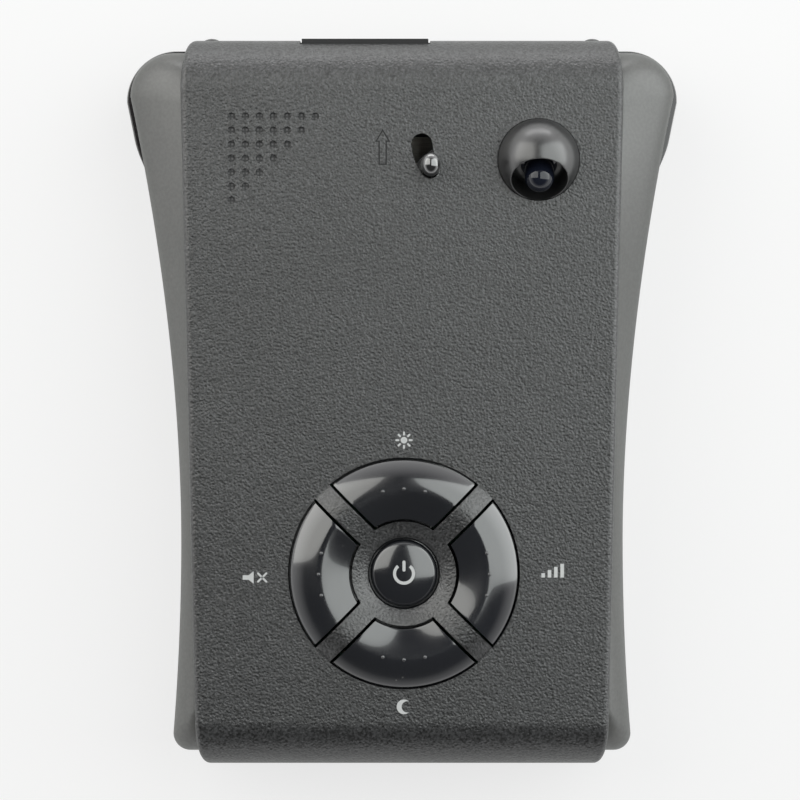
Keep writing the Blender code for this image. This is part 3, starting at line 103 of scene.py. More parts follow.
class Bench:
    """Modelling steps as done by hand, on one selected object at a time."""

    @staticmethod
    def clear() -> None:
        """Leaves edit mode and deselects everything."""
        if bpy.context.mode != "OBJECT":
            bpy.ops.object.mode_set(mode="OBJECT")
        bpy.ops.object.select_all(action="DESELECT")

    @staticmethod
    def pick(piece: bpy.types.Object) -> None:
        """Selects one object alone and makes it active.

        Args:
            piece: The object to work on.
        """
        Bench.clear()
        piece.select_set(True)
        bpy.context.view_layer.objects.active = piece

    @staticmethod
    def outline(name: str, ring: Sequence[Point], filled: bool) -> bpy.types.Object:
        """Adds a circle and moves its corners onto a ring.

        Args:
            name: The new object's name.
            ring: Where the corners go.
            filled: Whether the ring gets a face.

        Returns:
            The new object, in edit mode with all of it selected.
        """
        Bench.clear()
        fill = "NGON" if filled else "NOTHING"
        bpy.ops.mesh.primitive_circle_add(vertices=len(ring), radius=MM, fill_type=fill)
        piece = bpy.context.active_object
        piece.name = piece.data.name = name
        slot = piece.data.attributes.new("slot", "INT", "POINT")
        for i, place in enumerate(ring):
            piece.data.vertices[i].co = place
            slot.data[i].value = i
        bpy.ops.object.mode_set(mode="EDIT")
        bpy.ops.mesh.select_mode(type="VERT")
        bpy.ops.mesh.select_all(action="SELECT")
        return piece

    @staticmethod
    def skin(name: str, rings: Sequence[Sequence[Point]], wrap: bool = False) -> bpy.types.Object:
        """Extrudes an outline from ring to ring into a closed shape.

        Args:
            name: The new object's name.
            rings: Closed rings of equal count, in order along the shape.
            wrap: Whether the last ring meets the first, in place of a cap at each end.

        Returns:
            The closed shape with its faces outwards, in object mode.
        """
        piece = Bench.outline(name, rings[0], not wrap)
        following = list(rings[1:]) + ([rings[0]] if wrap else [])
        for ring in following:
            bpy.ops.mesh.extrude_region()
            mesh = bmesh.from_edit_mesh(piece.data)
            slot = mesh.verts.layers.int["slot"]
            for vert in mesh.verts:
                if vert.select:
                    vert.co = ring[vert[slot]]
            bmesh.update_edit_mesh(piece.data)
        return Bench.close(piece)

    @staticmethod
    def close(piece: bpy.types.Object) -> bpy.types.Object:
        """Merges what meets, turns all faces outwards and leaves edit mode.

        Args:
            piece: The object, in edit mode.

        Returns:
            The same object.
        """
        bpy.ops.mesh.select_all(action="SELECT")
        bpy.ops.mesh.remove_doubles(threshold=MERGE)
        bpy.ops.mesh.dissolve_degenerate(threshold=MERGE)
        bpy.ops.mesh.select_all(action="SELECT")
        bpy.ops.mesh.normals_make_consistent(inside=False)
        bpy.ops.object.mode_set(mode="OBJECT")
        mark = piece.data.attributes.get("slot")
        if mark is not None:
            piece.data.attributes.remove(mark)
        return piece

    @staticmethod
    def turned(name: str, profile: Sequence[Flat], steps: int, place: Matrix) -> bpy.types.Object:
        """Spins a closed profile of (radius, height) points about +Z.

        Args:
            name: The new object's name.
            profile: The profile; a stretch on the axis is left open.
            steps: Number of faces round the turn.
            place: Where the turned shape goes.

        Returns:
            The closed shape.
        """
        piece = Bench.outline(name, [(radius, 0.0, height) for radius, height in profile], False)
        bpy.ops.mesh.select_mode(type="EDGE")
        mesh = bmesh.from_edit_mesh(piece.data)
        for edge in mesh.edges:
            edge.select = all(abs(vert.co.x) < ON_AXIS for vert in edge.verts)
        on_axis = any(edge.select for edge in mesh.edges)
        bmesh.update_edit_mesh(piece.data)
        if on_axis:
            bpy.ops.mesh.delete(type="EDGE")
        bpy.ops.mesh.select_mode(type="VERT")
        bpy.ops.mesh.select_all(action="SELECT")
        bpy.ops.mesh.spin(steps=steps, angle=TURN, center=(0, 0, 0), axis=(0, 0, 1))
        Bench.close(piece)
        return Bench.settle(piece, place)

    @staticmethod
    def block(name: str, low: Point, high: Point) -> bpy.types.Object:
        """Adds a rectangular block between two corners.

        Args:
            name: The new object's name.
            low: Its lowest corner.
            high: Its highest corner.

        Returns:
            The block, with its place in its mesh.
        """
        Bench.clear()
        centre = (Vector(low) + Vector(high)) / 2
        bpy.ops.mesh.primitive_cube_add(size=1.0, location=centre, scale=Vector(high) - Vector(low))
        piece = bpy.context.active_object
        piece.name = piece.data.name = name
        bpy.ops.object.transform_apply(location=True, rotation=True, scale=True)
        return piece

    @staticmethod
    def settle(piece: bpy.types.Object, place: Matrix) -> bpy.types.Object:
        """Moves a piece and applies the move to its mesh.

        Args:
            piece: The object to move.
            place: The move.

        Returns:
            The same object, standing at the origin.
        """
        Bench.pick(piece)
        piece.matrix_world = place @ piece.matrix_world
        bpy.ops.object.transform_apply(location=True, rotation=True, scale=True)
        return piece

    @staticmethod
    def copy(piece: bpy.types.Object, shift: Matrix) -> bpy.types.Object:
        """Duplicates a piece and moves the copy."""
        Bench.pick(piece)
        bpy.ops.object.duplicate(linked=False)
        return Bench.settle(bpy.context.active_object, shift)

    @staticmethod
    def combine(piece: bpy.types.Object, tool: bpy.types.Object, how: Combine) -> None:
        """Combines a piece with a tool body, which is used up.

        Args:
            piece: The object that stays.
            tool: The object that goes.
            how: What the tool does.
        """
        Bench.pick(piece)
        step = piece.modifiers.new(how.name.lower(), "BOOLEAN")
        step.operation, step.solver, step.object = how.value, "EXACT", tool
        bpy.ops.object.modifier_apply(modifier=step.name)
        bpy.data.objects.remove(tool, do_unlink=True)

    @staticmethod
    def cut(piece: bpy.types.Object, tool: bpy.types.Object) -> None:
        """Cuts a tool body out of a piece."""
        Bench.combine(piece, tool, Combine.CUT)

    @staticmethod
    def add(piece: bpy.types.Object, tool: bpy.types.Object) -> None:
        """Fuses a tool body with a piece."""
        Bench.combine(piece, tool, Combine.ADD)

    @staticmethod
    def join(pieces: Sequence[bpy.types.Object], name: str) -> bpy.types.Object:
        """Joins several objects into one mesh.

        Args:
            pieces: The objects; the first one keeps its place.
            name: The joined object's name.

        Returns:
            The joined object.
        """
        Bench.pick(pieces[0])
        for piece in pieces[1:]:
            piece.select_set(True)
        bpy.ops.object.join()
        pieces[0].name = pieces[0].data.name = name
        return pieces[0]

    @staticmethod
    def finish(
        piece: bpy.types.Object, width: float, steps: int = 2, angle: float = 32.0
    ) -> bpy.types.Object:
        """Rounds the edges, marks the rounded faces as "edge" and smooths the shading.

        Args:
            piece: The object to finish.
            width: Width of the rounded edges.
            steps: Faces across a rounded edge.
            angle: Least angle, in degrees, of an edge that is rounded.

        Returns:
            The same object.
        """
        Bench.pick(piece)
        bpy.ops.object.mode_set(mode="EDIT")
        bpy.ops.mesh.select_all(action="SELECT")
        bpy.ops.mesh.remove_doubles(threshold=2e-6)
        bpy.ops.object.mode_set(mode="OBJECT")
        piece.data.materials.clear()
        for _ in range(2):
            piece.data.materials.append(None)
        if width > 0:
            step = piece.modifiers.new("rounded_edges", "BEVEL")
            step.width, step.segments, step.material = width, steps, 1
            step.limit_method, step.angle_limit = "ANGLE", math.radians(angle)
            step.miter_outer = "MITER_ARC"
            bpy.ops.object.modifier_apply(modifier=step.name)
        mark = piece.data.attributes.new("edge", "FLOAT", "FACE")
        for face in piece.data.polygons:
            mark.data[face.index].value = float(face.material_index == 1)
            face.material_index = 0
        piece.data.materials.clear()
        bpy.ops.object.shade_smooth_by_angle(angle=math.radians(angle + SHADE_MARGIN))
        step = piece.modifiers.new("even_shading", "WEIGHTED_NORMAL")
        step.keep_sharp, step.weight = True, 80
        bpy.ops.object.modifier_apply(modifier=step.name)
        return piece


# ------------------------------------------------------------------ plane geometry


def smooth_step(share: float) -> float:
    """Eases a share from 0 to 1 with a level start and end."""
    share = min(max(share, 0.0), 1.0)
    return share * share * (3 - 2 * share)


def arc(centre: Flat, radius: float, start: float, end: float, steps: int) -> list[Flat]:
    """Points on an arc.

    Args:
        centre: Centre of the arc.
        radius: Its radius.
        start: Angle of its first point.
        end: Angle of its last point.
        steps: Number of stretches between the points.

    Returns:
        The points, the last one included.
    """
    angles = [start + (end - start) * i / steps for i in range(steps + 1)]
    return [(centre[0] + radius * math.cos(a), centre[1] + radius * math.sin(a)) for a in angles]


def at(outline: Iterable[Flat], z: float) -> list[Point]:
    """Lifts a flat outline to one height."""
    return [(x, y, z) for x, y in outline]


def rounded_rectangle(half_width: float, half_height: float, corner: float, steps: int = 8) -> list[Flat]:
    """Rectangle with round corners, about the origin.

    Args:
        half_width: Half of its width.
        half_height: Half of its height.
        corner: Radius of its corners.
        steps: Stretches in each corner.

    Returns:
        The outline.
    """
    points: list[Flat] = []
    for sx, sy, start in ((1, 1, 0), (-1, 1, 90), (-1, -1, 180), (1, -1, 270)):
        centre = (sx * (half_width - corner), sy * (half_height - corner))
        begin = math.radians(start)
        points += arc(centre, corner, begin, begin + math.pi / 2, steps)
    return points


def stadium(start: Flat, end: Flat, radius: float, steps: int = 14) -> list[Flat]:
    """Round-ended bar between two points.

    Args:
        start: Centre of one end.
        end: Centre of the other end.
        radius: Radius of both ends.
        steps: Stretches in each end.

    Returns:
        The outline.
    """
    along = math.atan2(end[1] - start[1], end[0] - start[0])
    outline = arc(end, radius, along - math.pi / 2, along + math.pi / 2, steps)
    return outline + arc(start, radius, along + math.pi / 2, along + 1.5 * math.pi, steps)


def rod(radius: float, low: float, high: float, chamfer: float = 0.0) -> list[Flat]:
    """Profile of a plain rod on the axis, with a chamfer at its top."""
    profile = [(0.0, low), (radius, low), (radius, high - chamfer)]
    return profile + ([(radius - chamfer, high)] if chamfer else []) + [(0.0, high)]


def move(x: float, y: float, z: float) -> Matrix:
    """Matrix of a plain move."""
    return Matrix.Translation((x, y, z))


# ------------------------------------------------------------------ shared sizes


@dataclass(frozen=True)
class CaseSizes:
    """Sizes that the cover and the housing share."""

    length: float = 110.0 * MM
    top: float = 28.5 * MM
    wall: float = 1.5 * MM
    front_half: float = 33.3 * MM
    rear_half: float = 31.1 * MM
    front_roll: float = 8.0 * MM
    rear_roll: float = 7.0 * MM
    rim_front_half: float = 41.5 * MM
    rim_waist_half: float = 33.7 * MM
    rim_rear_half: float = 34.9 * MM
    waist_setback: float = 34.0 * MM
    flare: float = 1.84
    front_corner: float = 6.6 * MM
    rear_corner: float = 2.6 * MM
    rim_height: float = 20.0 * MM
    parting: float = 13.0 * MM
    lean: float = 0.1
    end_steps: int = 8
    side_steps: int = 36
    front_corner_steps: int = 16
    rear_corner_steps: int = 10

    @property
    def front(self) -> float:
        """Y of the cover's front face."""
        return self.length / 2

    @property
    def under(self) -> float:
        """Underside of the cover's top."""
        return self.top - self.wall

    @property
    def housing_front(self) -> float:
        """Y of the housing's front face."""
        return self.front - self.wall - GAP

    @property
    def housing_top(self) -> float:
        """Top of the housing under the cover."""
        return self.under - GAP

    def cover_half(self, y: float) -> float:
        """Half width of the cover at a place along it."""
        front, rear = self.front - self.front_roll, self.rear_roll - self.front
        share = (min(max(y, rear), front) - rear) / (front - rear)
        return self.rear_half + (self.front_half - self.rear_half) * share

    def rim_half(self, y: float) -> float:
        """Half width of the housing's rim at a place along it."""
        front = self.housing_front - self.front_corner
        rear = self.rear_corner - self.housing_front
        waist = self.waist_setback - self.front
        if y > waist:
            share = min((y - waist) / (front - waist), 1.0)
            return self.rim_waist_half + (self.rim_front_half - self.rim_waist_half) * share**self.flare
        share = min((waist - y) / (waist - rear), 1.0)
        return self.rim_waist_half + (self.rim_rear_half - self.rim_waist_half) * share**2

    def plan(
        self,
        half: Callable[[float], float],
        front: float,
        rear: float,
        front_corner: float,
        rear_corner: float,
    ) -> list[Flat]:
        """Mirrored outline from the middle of the front edge, always of equal count.

        Args:
            half: Half width at a place along the case.
            front: Y of the front edge.
            rear: Y of the rear edge.
            front_corner: Radius of the front corners.
            rear_corner: Radius of the rear corners.

        Returns:
            The outline.
        """
        side_front, side_rear = front - front_corner, rear + rear_corner
        front_x, rear_x = half(side_front) - front_corner, half(side_rear) - rear_corner
        ends, sides = self.end_steps, self.side_steps
        right = [(front_x * i / ends, front) for i in range(ends)]
        right += arc((front_x, side_front), front_corner, math.pi / 2, 0.0, self.front_corner_steps)
        right += [
            (half(y), y)
            for y in (side_front + (side_rear - side_front) * i / sides for i in range(1, sides))
        ]
        right += arc((rear_x, side_rear), rear_corner, 0.0, -math.pi / 2, self.rear_corner_steps)
        right += [(rear_x * (1 - i / ends), rear) for i in range(1, ends + 1)]
        return right + [(-x, y) for x, y in reversed(right[1:-1])]

    def housing_plan(self, inset: float) -> list[Flat]:
        """Outline of the housing, drawn in by an inset."""
        front_corner = max(self.front_corner - inset, 0.8 * MM)
        rear_corner = max(self.rear_corner - inset, 0.8 * MM)
        front = self.housing_front - inset
        return self.plan(lambda y: self.rim_half(y) - inset, front, -front, front_corner, rear_corner)

    def seat_plan(self, inset: float) -> list[Flat]:
        """Outline where the housing passes under the cover."""
        front, rear = self.front - self.front_roll, self.rear_roll - self.front
        return self.plan(
            lambda y: self.cover_half(y) - inset, front - inset, rear + inset, 2 * MM, 2 * MM
        )

    def side_inset(self, z: float) -> float:
        """How far the lower housing's side stands in from the rim at a height."""
        return 0.2 * MM + self.lean * (self.parting - GAP - z)


CASE = CaseSizes()


# ------------------------------------------------------------------ finishes


class Wiring:
    """Adds and links the nodes of one tree."""

    def __init__(self, tree: bpy.types.NodeTree) -> None:
        """Keeps the tree to work on."""
        self.tree = tree

    def node(self, kind: str, **sockets: object) -> bpy.types.Node:
        """Adds a node and fills its sockets.

        Args:
            kind: The node's type, without its prefix.
            sockets: Values or outputs by socket name, with _ for a space.

        Returns:
            The new node.
        """
        made = self.tree.nodes.new("ShaderNode" + kind)
        for name, value in sockets.items():
            self.feed(made, name.replace("_", " "), value)
        return made

    def feed(self, node: bpy.types.Node, name: str | int, value: object) -> None:
        """Links an output to a socket, or writes a plain value there."""
        socket = node.inputs[name]
        if isinstance(value, bpy.types.NodeSocket):
            self.tree.links.new(value, socket)
        else:
            socket.default_value = value

    def math(self, operation: str, *values: object) -> bpy.types.NodeSocket:
        """Adds a math node, clamped to 0 and 1, and returns its output."""
        made = self.tree.nodes.new("ShaderNodeMath")
        made.operation, made.use_clamp = operation, operation not in ("MULTIPLY", "DIVIDE")
        for i, value in enumerate(values):
            self.feed(made, i, value)
        return made.outputs[0]

    def noise(self, vector: object, scale: object, detail: float = 2.0) -> bpy.types.NodeSocket:
        """Adds a noise texture and returns its value."""
        made = self.node("TexNoise", Vector=vector, Scale=scale, Detail=detail)
        return made.outputs[0]

    def ramp(self, value: object, low: float, high: float) -> bpy.types.NodeSocket:
        """Stretches the range from low to high to the range from 0 to 1."""
        made = self.tree.nodes.new("ShaderNodeMapRange")
        made.interpolation_type = "SMOOTHSTEP"
        for name, item in (("Value", value), ("From Min", low), ("From Max", high)):
            self.feed(made, name, item)
        return made.outputs[0]

    def blend(self, share: object, first: object, second: object) -> bpy.types.NodeSocket:
        """Mixes two colours by a share and returns the colour."""
        made = self.tree.nodes.new("ShaderNodeMix")
        made.data_type = "RGBA"
        for i, item in ((0, share), (6, first), (7, second)):
            self.feed(made, i, item)
        return made.outputs[2]


def effect(
    name: str, inputs: dict[str, object], outputs: dict[str, str]
) -> tuple[bpy.types.NodeTree, Wiring]:
    """Starts a shared node group with named sockets.

    Args:
        name: The group's name.
        inputs: Socket names with a default number, or "VECTOR" for a vector.
        outputs: Socket names with their kinds.

    Returns:
        The group and its wiring; its first two nodes are the input and the output.
    """
    tree = bpy.data.node_groups.new(name, "ShaderNodeTree")
    for title, value in inputs.items():
        kind = "NodeSocketVector" if value == "VECTOR" else "NodeSocketFloat"
        socket = tree.interface.new_socket(title, in_out="INPUT", socket_type=kind)
        if kind == "NodeSocketFloat":
            socket.default_value = value
    for title, kind in outputs.items():
        tree.interface.new_socket(title, in_out="OUTPUT", socket_type=kind)
    tree.nodes.new("NodeGroupInput")
    tree.nodes.new("NodeGroupOutput")
    return tree, Wiring(tree)


class Effects:
    """Shared surface effects, each built once as a node group."""

    def __init__(self) -> None:
        """Builds the groups."""
        self.grain = self._grain()
        self.wear = self._wear()
        self.handling = self._handling()

    @staticmethod
    def _grain() -> bpy.types.NodeTree:
        """Spark-eroded mould texture: rounded pits of two sizes, with a mask of painted glints on its
        hills.
        """
        tree, wire = effect(
            "moulded_grain",
            {"Vector": "VECTOR", "Cells per Metre": 2600.0, "Sharpness": 0.5},
            {"Height": "NodeSocketFloat", "Speck": "NodeSocketFloat"},
        )
        given, made = tree.nodes[0].outputs, tree.nodes[1].inputs
        fine = wire.noise(given["Vector"], given["Cells per Metre"], 3.0)
        cells = wire.node("TexVoronoi", Vector=given["Vector"], Scale=wire.math("MULTIPLY", given[1], 0.8))
        round_pits = wire.ramp(cells.outputs["Distance"], 0.05, 0.75)
        coarse = wire.noise(given["Vector"], wire.math("MULTIPLY", given[1], 0.42), 1.0)
        height = wire.math("ADD", wire.math("MULTIPLY", fine, 0.62), wire.math("MULTIPLY", round_pits, 0.3))
        height = wire.math("ADD", height, wire.math("MULTIPLY", coarse, 0.08))
        wire.tree.links.new(height, made["Height"])
        # Painted glints: the hills of the fine grain, to be lightened as if they caught the lamps.
        speck = wire.ramp(fine, 0.5, 0.78)
        wire.tree.links.new(wire.math("MULTIPLY", speck, given["Sharpness"]), made["Speck"])
        return tree

    @staticmethod
    def _wear() -> bpy.types.NodeTree:
        """Rubbed edges: the edge mark broken up by two scales of noise."""
        tree, wire = effect(
            "edge_wear",
            {"Vector": "VECTOR", "Edge": 0.0, "Amount": 0.5},
            {"Mask": "NodeSocketFloat"},
        )
        given, made = tree.nodes[0].outputs, tree.nodes[1].inputs
        broad = wire.ramp(wire.noise(given["Vector"], 90.0, 3.0), 0.3, 0.7)
        fine = wire.ramp(wire.noise(given["Vector"], 1400.0, 2.0), 0.25, 0.6)
        rubbed = wire.math("MULTIPLY", wire.math("MULTIPLY", broad, fine), given["Edge"])
        wire.tree.links.new(wire.math("MULTIPLY", rubbed, given["Amount"]), made["Mask"])
        return tree

    @staticmethod
    def _handling() -> bpy.types.NodeTree:
        """Faint smears from fingers, and fine dust."""
        tree, wire = effect(
            "handling",
            {"Vector": "VECTOR", "Smears": 0.5, "Dust": 0.3},
            {"Smear": "NodeSocketFloat", "Dust": "NodeSocketFloat"},
        )
        given, made = tree.nodes[0].outputs, tree.nodes[1].inputs
        warp = wire.node("TexNoise", Vector=given["Vector"], Scale=45.0, Detail=4.0, Distortion=1.6)
        smear = wire.math("MULTIPLY", wire.ramp(warp.outputs[0], 0.42, 0.7), given["Smears"])
        wire.tree.links.new(smear, made["Smear"])
        motes = wire.node("TexVoronoi", Vector=given["Vector"], Scale=620.0)
        mote = wire.ramp(motes.outputs["Distance"], 0.16, 0.06)
        sparse = wire.ramp(wire.noise(given["Vector"], 160.0, 2.0), 0.52, 0.66)
        dust = wire.math("MULTIPLY", wire.math("MULTIPLY", mote, sparse), given["Dust"])
        wire.tree.links.new(dust, made["Dust"])
        return tree


@dataclass(frozen=True)
class Finish:
    """One procedural material: a base colour under grain, painted glints, wear and handling."""

    name: str
    slot: str
    colour: tuple[float, float, float]
    roughness: float
    worn: tuple[float, float, float] = (0.09, 0.09, 0.092)
    wear: float = 0.35
    metallic: float = 0.0
    grain: float = 0.0
    cells: float = 2600.0
    # Strength of the painted glints on the grain's hills.
    speck: float = 0.0
    smears: float = 0.25
    dust: float = 0.15
    mottle: float = 0.12
    specular: float = 0.5
    index: float = 1.5
    coat: float = 0.0

    def make(self, effects: Effects) -> bpy.types.Material:
        """Builds the material.

        Args:
            effects: The shared node groups.

        Returns:
            The material.
        """
        made = bpy.data.materials.new(self.name)
        made.use_nodes = True
        wire = Wiring(made.node_tree)
        shader = made.node_tree.nodes["Principled BSDF"]
        spot = wire.node("TexCoord").outputs["Object"]
        grain = self._group(wire, effects.grain, Vector=spot, Cells_per_Metre=self.cells, Sharpness=1.0)
        wear = self._group(wire, effects.wear, Vector=spot, Amount=self.wear)
        edge = wire.tree.nodes.new("ShaderNodeAttribute")
        edge.attribute_name = "edge"
        wire.feed(wear, "Edge", edge.outputs["Fac"])
        hand = self._group(wire, effects.handling, Vector=spot, Smears=self.smears, Dust=self.dust)
        colour = self._colour(wire, spot)
        # Painted highlight: the grain's hills lightened as glints of the lamps.
        speck = wire.math("MULTIPLY", grain.outputs["Speck"], self.speck)
        colour = wire.blend(speck, colour, self._lighter(2.6))
        colour = wire.blend(wear.outputs["Mask"], colour, (*self.worn, 1.0))
        colour = wire.blend(hand.outputs["Dust"], colour, (0.32, 0.31, 0.29, 1.0))
        wire.feed(shader, "Base Color", colour)
        rough = wire.math("ADD", self.roughness, wire.math("MULTIPLY", hand.outputs["Smear"], 0.14))
        rough = wire.math("SUBTRACT", rough, wire.math("MULTIPLY", wear.outputs["Mask"], 0.12))
        rough = wire.math("ADD", rough, wire.math("MULTIPLY", hand.outputs["Dust"], 0.4))
        wire.feed(shader, "Roughness", rough)
        shader.inputs["Metallic"].default_value = self.metallic
        shader.inputs["Specular IOR Level"].default_value = self.specular
        shader.inputs["IOR"].default_value = self.index
        shader.inputs["Coat IOR"].default_value = self.index
        shader.inputs["Coat Weight"].default_value = self.coat
        shader.inputs["Coat Roughness"].default_value = 0.05
        self._relief(wire, shader, spot, grain)
        return made

    @staticmethod
    def _group(wire: Wiring, tree: bpy.types.NodeTree, **sockets: object) -> bpy.types.Node:
        """Places a shared group with its own values."""
        made = wire.tree.nodes.new("ShaderNodeGroup")
        made.node_tree = tree
        for name, value in sockets.items():
            wire.feed(made, name.replace("_", " "), value)
        return made

    def _lighter(self, times: float) -> tuple[float, float, float, float]:
        """The base colour made lighter."""
        red, green, blue = (min(channel * times, 1.0) for channel in self.colour)
        return red, green, blue, 1.0

    def _colour(self, wire: Wiring, spot: bpy.types.NodeSocket) -> bpy.types.NodeSocket:
        """The base colour with the slight clouding of a real moulding."""
        cloud = wire.ramp(wire.noise(spot, 38.0, 5.0), 0.3, 0.72)
        return wire.blend(cloud, self._lighter(1 - self.mottle), self._lighter(1 + self.mottle))

    def _relief(
        self,
        wire: Wiring,
        shader: bpy.types.Node,
        spot: bpy.types.NodeSocket,
        grain: bpy.types.Node,
    ) -> None:
        """Puts the grain's height on the surface."""
        height: bpy.types.NodeSocket = grain.outputs["Height"]
        depth = self.grain
        if depth <= 0:
            height, depth = wire.noise(spot, 300.0, 2.0), 0.004 * MM
        bump = wire.node("Bump", Height=height, Distance=depth, Strength=1.0)
        wire.feed(shader, "Normal", bump.outputs[0])


@dataclass(frozen=True)
class Laminate(Finish):
    """Circuit board: solder mask with copper tracks and plated pads."""

    pitch: float = 2.54 * MM

    def _colour(self, wire: Wiring, spot: bpy.types.NodeSocket) -> bpy.types.NodeSocket:
        """Tracks as a wavy line pattern, pads as a field of dots."""
        base = super()._colour(wire, spot)
        wave = wire.tree.nodes.new("ShaderNodeTexWave")
        wave.bands_direction = "DIAGONAL"
        for name, value in (("Vector", spot), ("Scale", 140.0), ("Distortion", 9.0), ("Detail", 1.0)):
            wire.feed(wave, name, value)
        tracks = wire.ramp(wave.outputs["Fac"], 0.55, 0.62)
        base = wire.blend(tracks, base, self._lighter(1.7))
        dots = wire.node("TexVoronoi", Vector=spot, Scale=1 / self.pitch, Randomness=0.25)
        pads = wire.ramp(dots.outputs["Distance"], 0.2, 0.16)
        return wire.blend(pads, base, (0.62, 0.58, 0.42, 1.0))


@dataclass(frozen=True)
class Brushed(Finish):
    """Metal with fine lines along one direction."""

    stretch: tuple[float, float, float] = (1.0, 40.0, 1.0)

    def _colour(self, wire: Wiring, spot: bpy.types.NodeSocket) -> bpy.types.NodeSocket:
        """Streaks of slightly different brightness."""
        turn = wire.node("Mapping", Vector=spot, Scale=self.stretch)
        streaks = wire.ramp(wire.noise(turn.outputs[0], 260.0, 4.0), 0.3, 0.7)
        return wire.blend(streaks, self._lighter(0.8), self._lighter(1.12))


@dataclass(frozen=True)
class Cone(Finish):
    """Speaker cone: pressed pulp with fibres and a glued dust cap."""

    def _colour(self, wire: Wiring, spot: bpy.types.NodeSocket) -> bpy.types.NodeSocket:
        """Short pale fibres in dark pulp."""
        turn = wire.node("Mapping", Vector=spot, Scale=(1.0, 5.0, 1.0))
        fibres = wire.ramp(wire.noise(turn.outputs[0], 900.0, 3.0), 0.5, 0.75)
        return wire.blend(fibres, self._lighter(0.8), self._lighter(2.2))


@dataclass(frozen=True)
class Grained(Finish):
    """Coarse moulded grain, with painted glints on its hills and painted shade in its pits."""

    # Brightness of the painted glints on the hills and of the painted shade in the pits.
    hills: float = 1.55
    pits: float = 0.6

    def _colour(self, wire: Wiring, spot: bpy.types.NodeSocket) -> bpy.types.NodeSocket:
        """Painted glints on hills and painted shade in pits, in two sizes, over the clouding."""
        base = super()._colour(wire, spot)
        small = wire.ramp(wire.noise(spot, self.cells * 0.86, 2.0), 0.36, 0.64)
        large = wire.ramp(wire.noise(spot, self.cells * 0.3, 2.0), 0.3, 0.7)
        share = wire.math("ADD", wire.math("MULTIPLY", small, 0.78), wire.math("MULTIPLY", large, 0.22))
        # Painted light: hills lightened as painted glints and pits darkened as painted shade.
        glint_and_shade_tone = wire.blend(share, (self.pits,) * 3 + (1.0,), (self.hills,) * 3 + (1.0,))
        made = wire.tree.nodes.new("ShaderNodeMix")
        made.data_type, made.blend_type = "RGBA", "MULTIPLY"
        for i, item in ((0, 1.0), (6, base), (7, glint_and_shade_tone)):
            wire.feed(made, i, item)
        return made.outputs[2]


@dataclass(frozen=True)
class Woven(Finish):
    """Plain weave: two crossing sets of threads."""

    threads: float = 3600.0

    def _colour(self, wire: Wiring, spot: bpy.types.NodeSocket) -> bpy.types.NodeSocket:
        """Threads over and under each other."""
        bands = []
        for direction in ("X", "Y"):
            wave = wire.tree.nodes.new("ShaderNodeTexWave")
            wave.bands_direction = direction
            for name, value in (("Vector", spot), ("Scale", self.threads / WAVE_TURN), ("Distortion", 0.4)):
                wire.feed(wave, name, value)
            bands.append(wave.outputs["Fac"])
        share = wire.math("MULTIPLY", bands[0], bands[1])
        return wire.blend(share, self._lighter(0.55), self._lighter(1.5))


# The hills and pits of the cover and the housing carry painted glints and painted shade.
COVER = Grained(
    "cover_grained_black", "cover_grain", (0.024, 0.0244, 0.0252), 0.33, grain=0.12 * MM,
    cells=2900.0, speck=0.3, smears=0.35, wear=0.45, worn=(0.13, 0.13, 0.135), specular=1.0,
    index=1.6, hills=2.5, pits=0.12,
)
SHELL = Grained(
    "housing_satin_black", "housing_satin", (0.080, 0.081, 0.076), 0.38, grain=0.016 * MM,
    cells=2300.0, wear=0.5, worn=(0.16, 0.16, 0.155), specular=1.0, index=1.66, hills=1.14, pits=0.86,
)
CLOTH = Woven("speaker_cloth", "speaker_paper", (0.15, 0.15, 0.152), 0.9, grain=0.03 * MM)
SMOKE = Finish(
    "infrared_smoke", "infrared_window", (0.022, 0.020, 0.022), 0.09, mottle=0.25, smears=0.5,
    wear=0.25, coat=1.0, dust=0.2,
)
GLASS = Finish(
    "display_smoke", "display_window", (0.010, 0.0095, 0.012), 0.05, mottle=0.25, smears=0.5,
    wear=0.25, coat=0.5,
)
SOCKET = Finish("socket_plain_black", "socket_black", (0.014, 0.014, 0.015), 0.5, grain=0.02 * MM)
HOOD = Finish(
    "hood_satin_black", "hood_satin", (0.014, 0.014, 0.0145), 0.28, grain=0.005 * MM,
    cells=2500.0, wear=0.5, specular=1.0, index=1.75,
)
DIODE = Finish("diode_dark_resin", "diode_dark", (0.008, 0.010, 0.018), 0.05, coat=0.6, dust=0.1)
KNOB = Finish(
    "lever_polished_black", "lever_gloss", (0.009, 0.009, 0.010), 0.16, coat=1.0, wear=0.4,
    specular=1.0, index=1.9,
)
# Painted shadow: the arrow's dark outline stands for the shade along its raised edges.
ARROW_SHADOW = Finish("arrow_painted_shadow", "cover_grain", (0.014, 0.014, 0.015), 0.5, grain=0.01 * MM)
KEY = Finish(
    "button_polished", "button_gloss", (0.012, 0.0135, 0.0175), 0.14, coat=1.0, smears=0.5,
    wear=0.25, dust=0.2, mottle=0.2, specular=1.0, index=1.62,
)
STEEL = Brushed("spring_wire", "spring_steel", (0.55, 0.55, 0.56), 0.28, metallic=1.0, wear=0.2)
ZINC = Brushed(
    "screw_black_zinc", "screw_black_zinc", (0.11, 0.11, 0.12), 0.36, metallic=1.0,
    worn=(0.5, 0.5, 0.5), wear=0.6,
)
HORN = Brushed("horn_cast_metal", "horn_metal", (0.62, 0.60, 0.55), 0.38, metallic=1.0, grain=0.02 * MM)
TIN = Brushed("can_tinned_sheet", "can_tinned", (0.62, 0.62, 0.61), 0.36, metallic=1.0)
BOARD = Laminate("board_green_mask", "board_green", (0.015, 0.085, 0.04), 0.35, coat=0.3)
SWITCH = Finish("switch_black_moulding", "switch_black", (0.02, 0.02, 0.021), 0.5, grain=0.02 * MM)
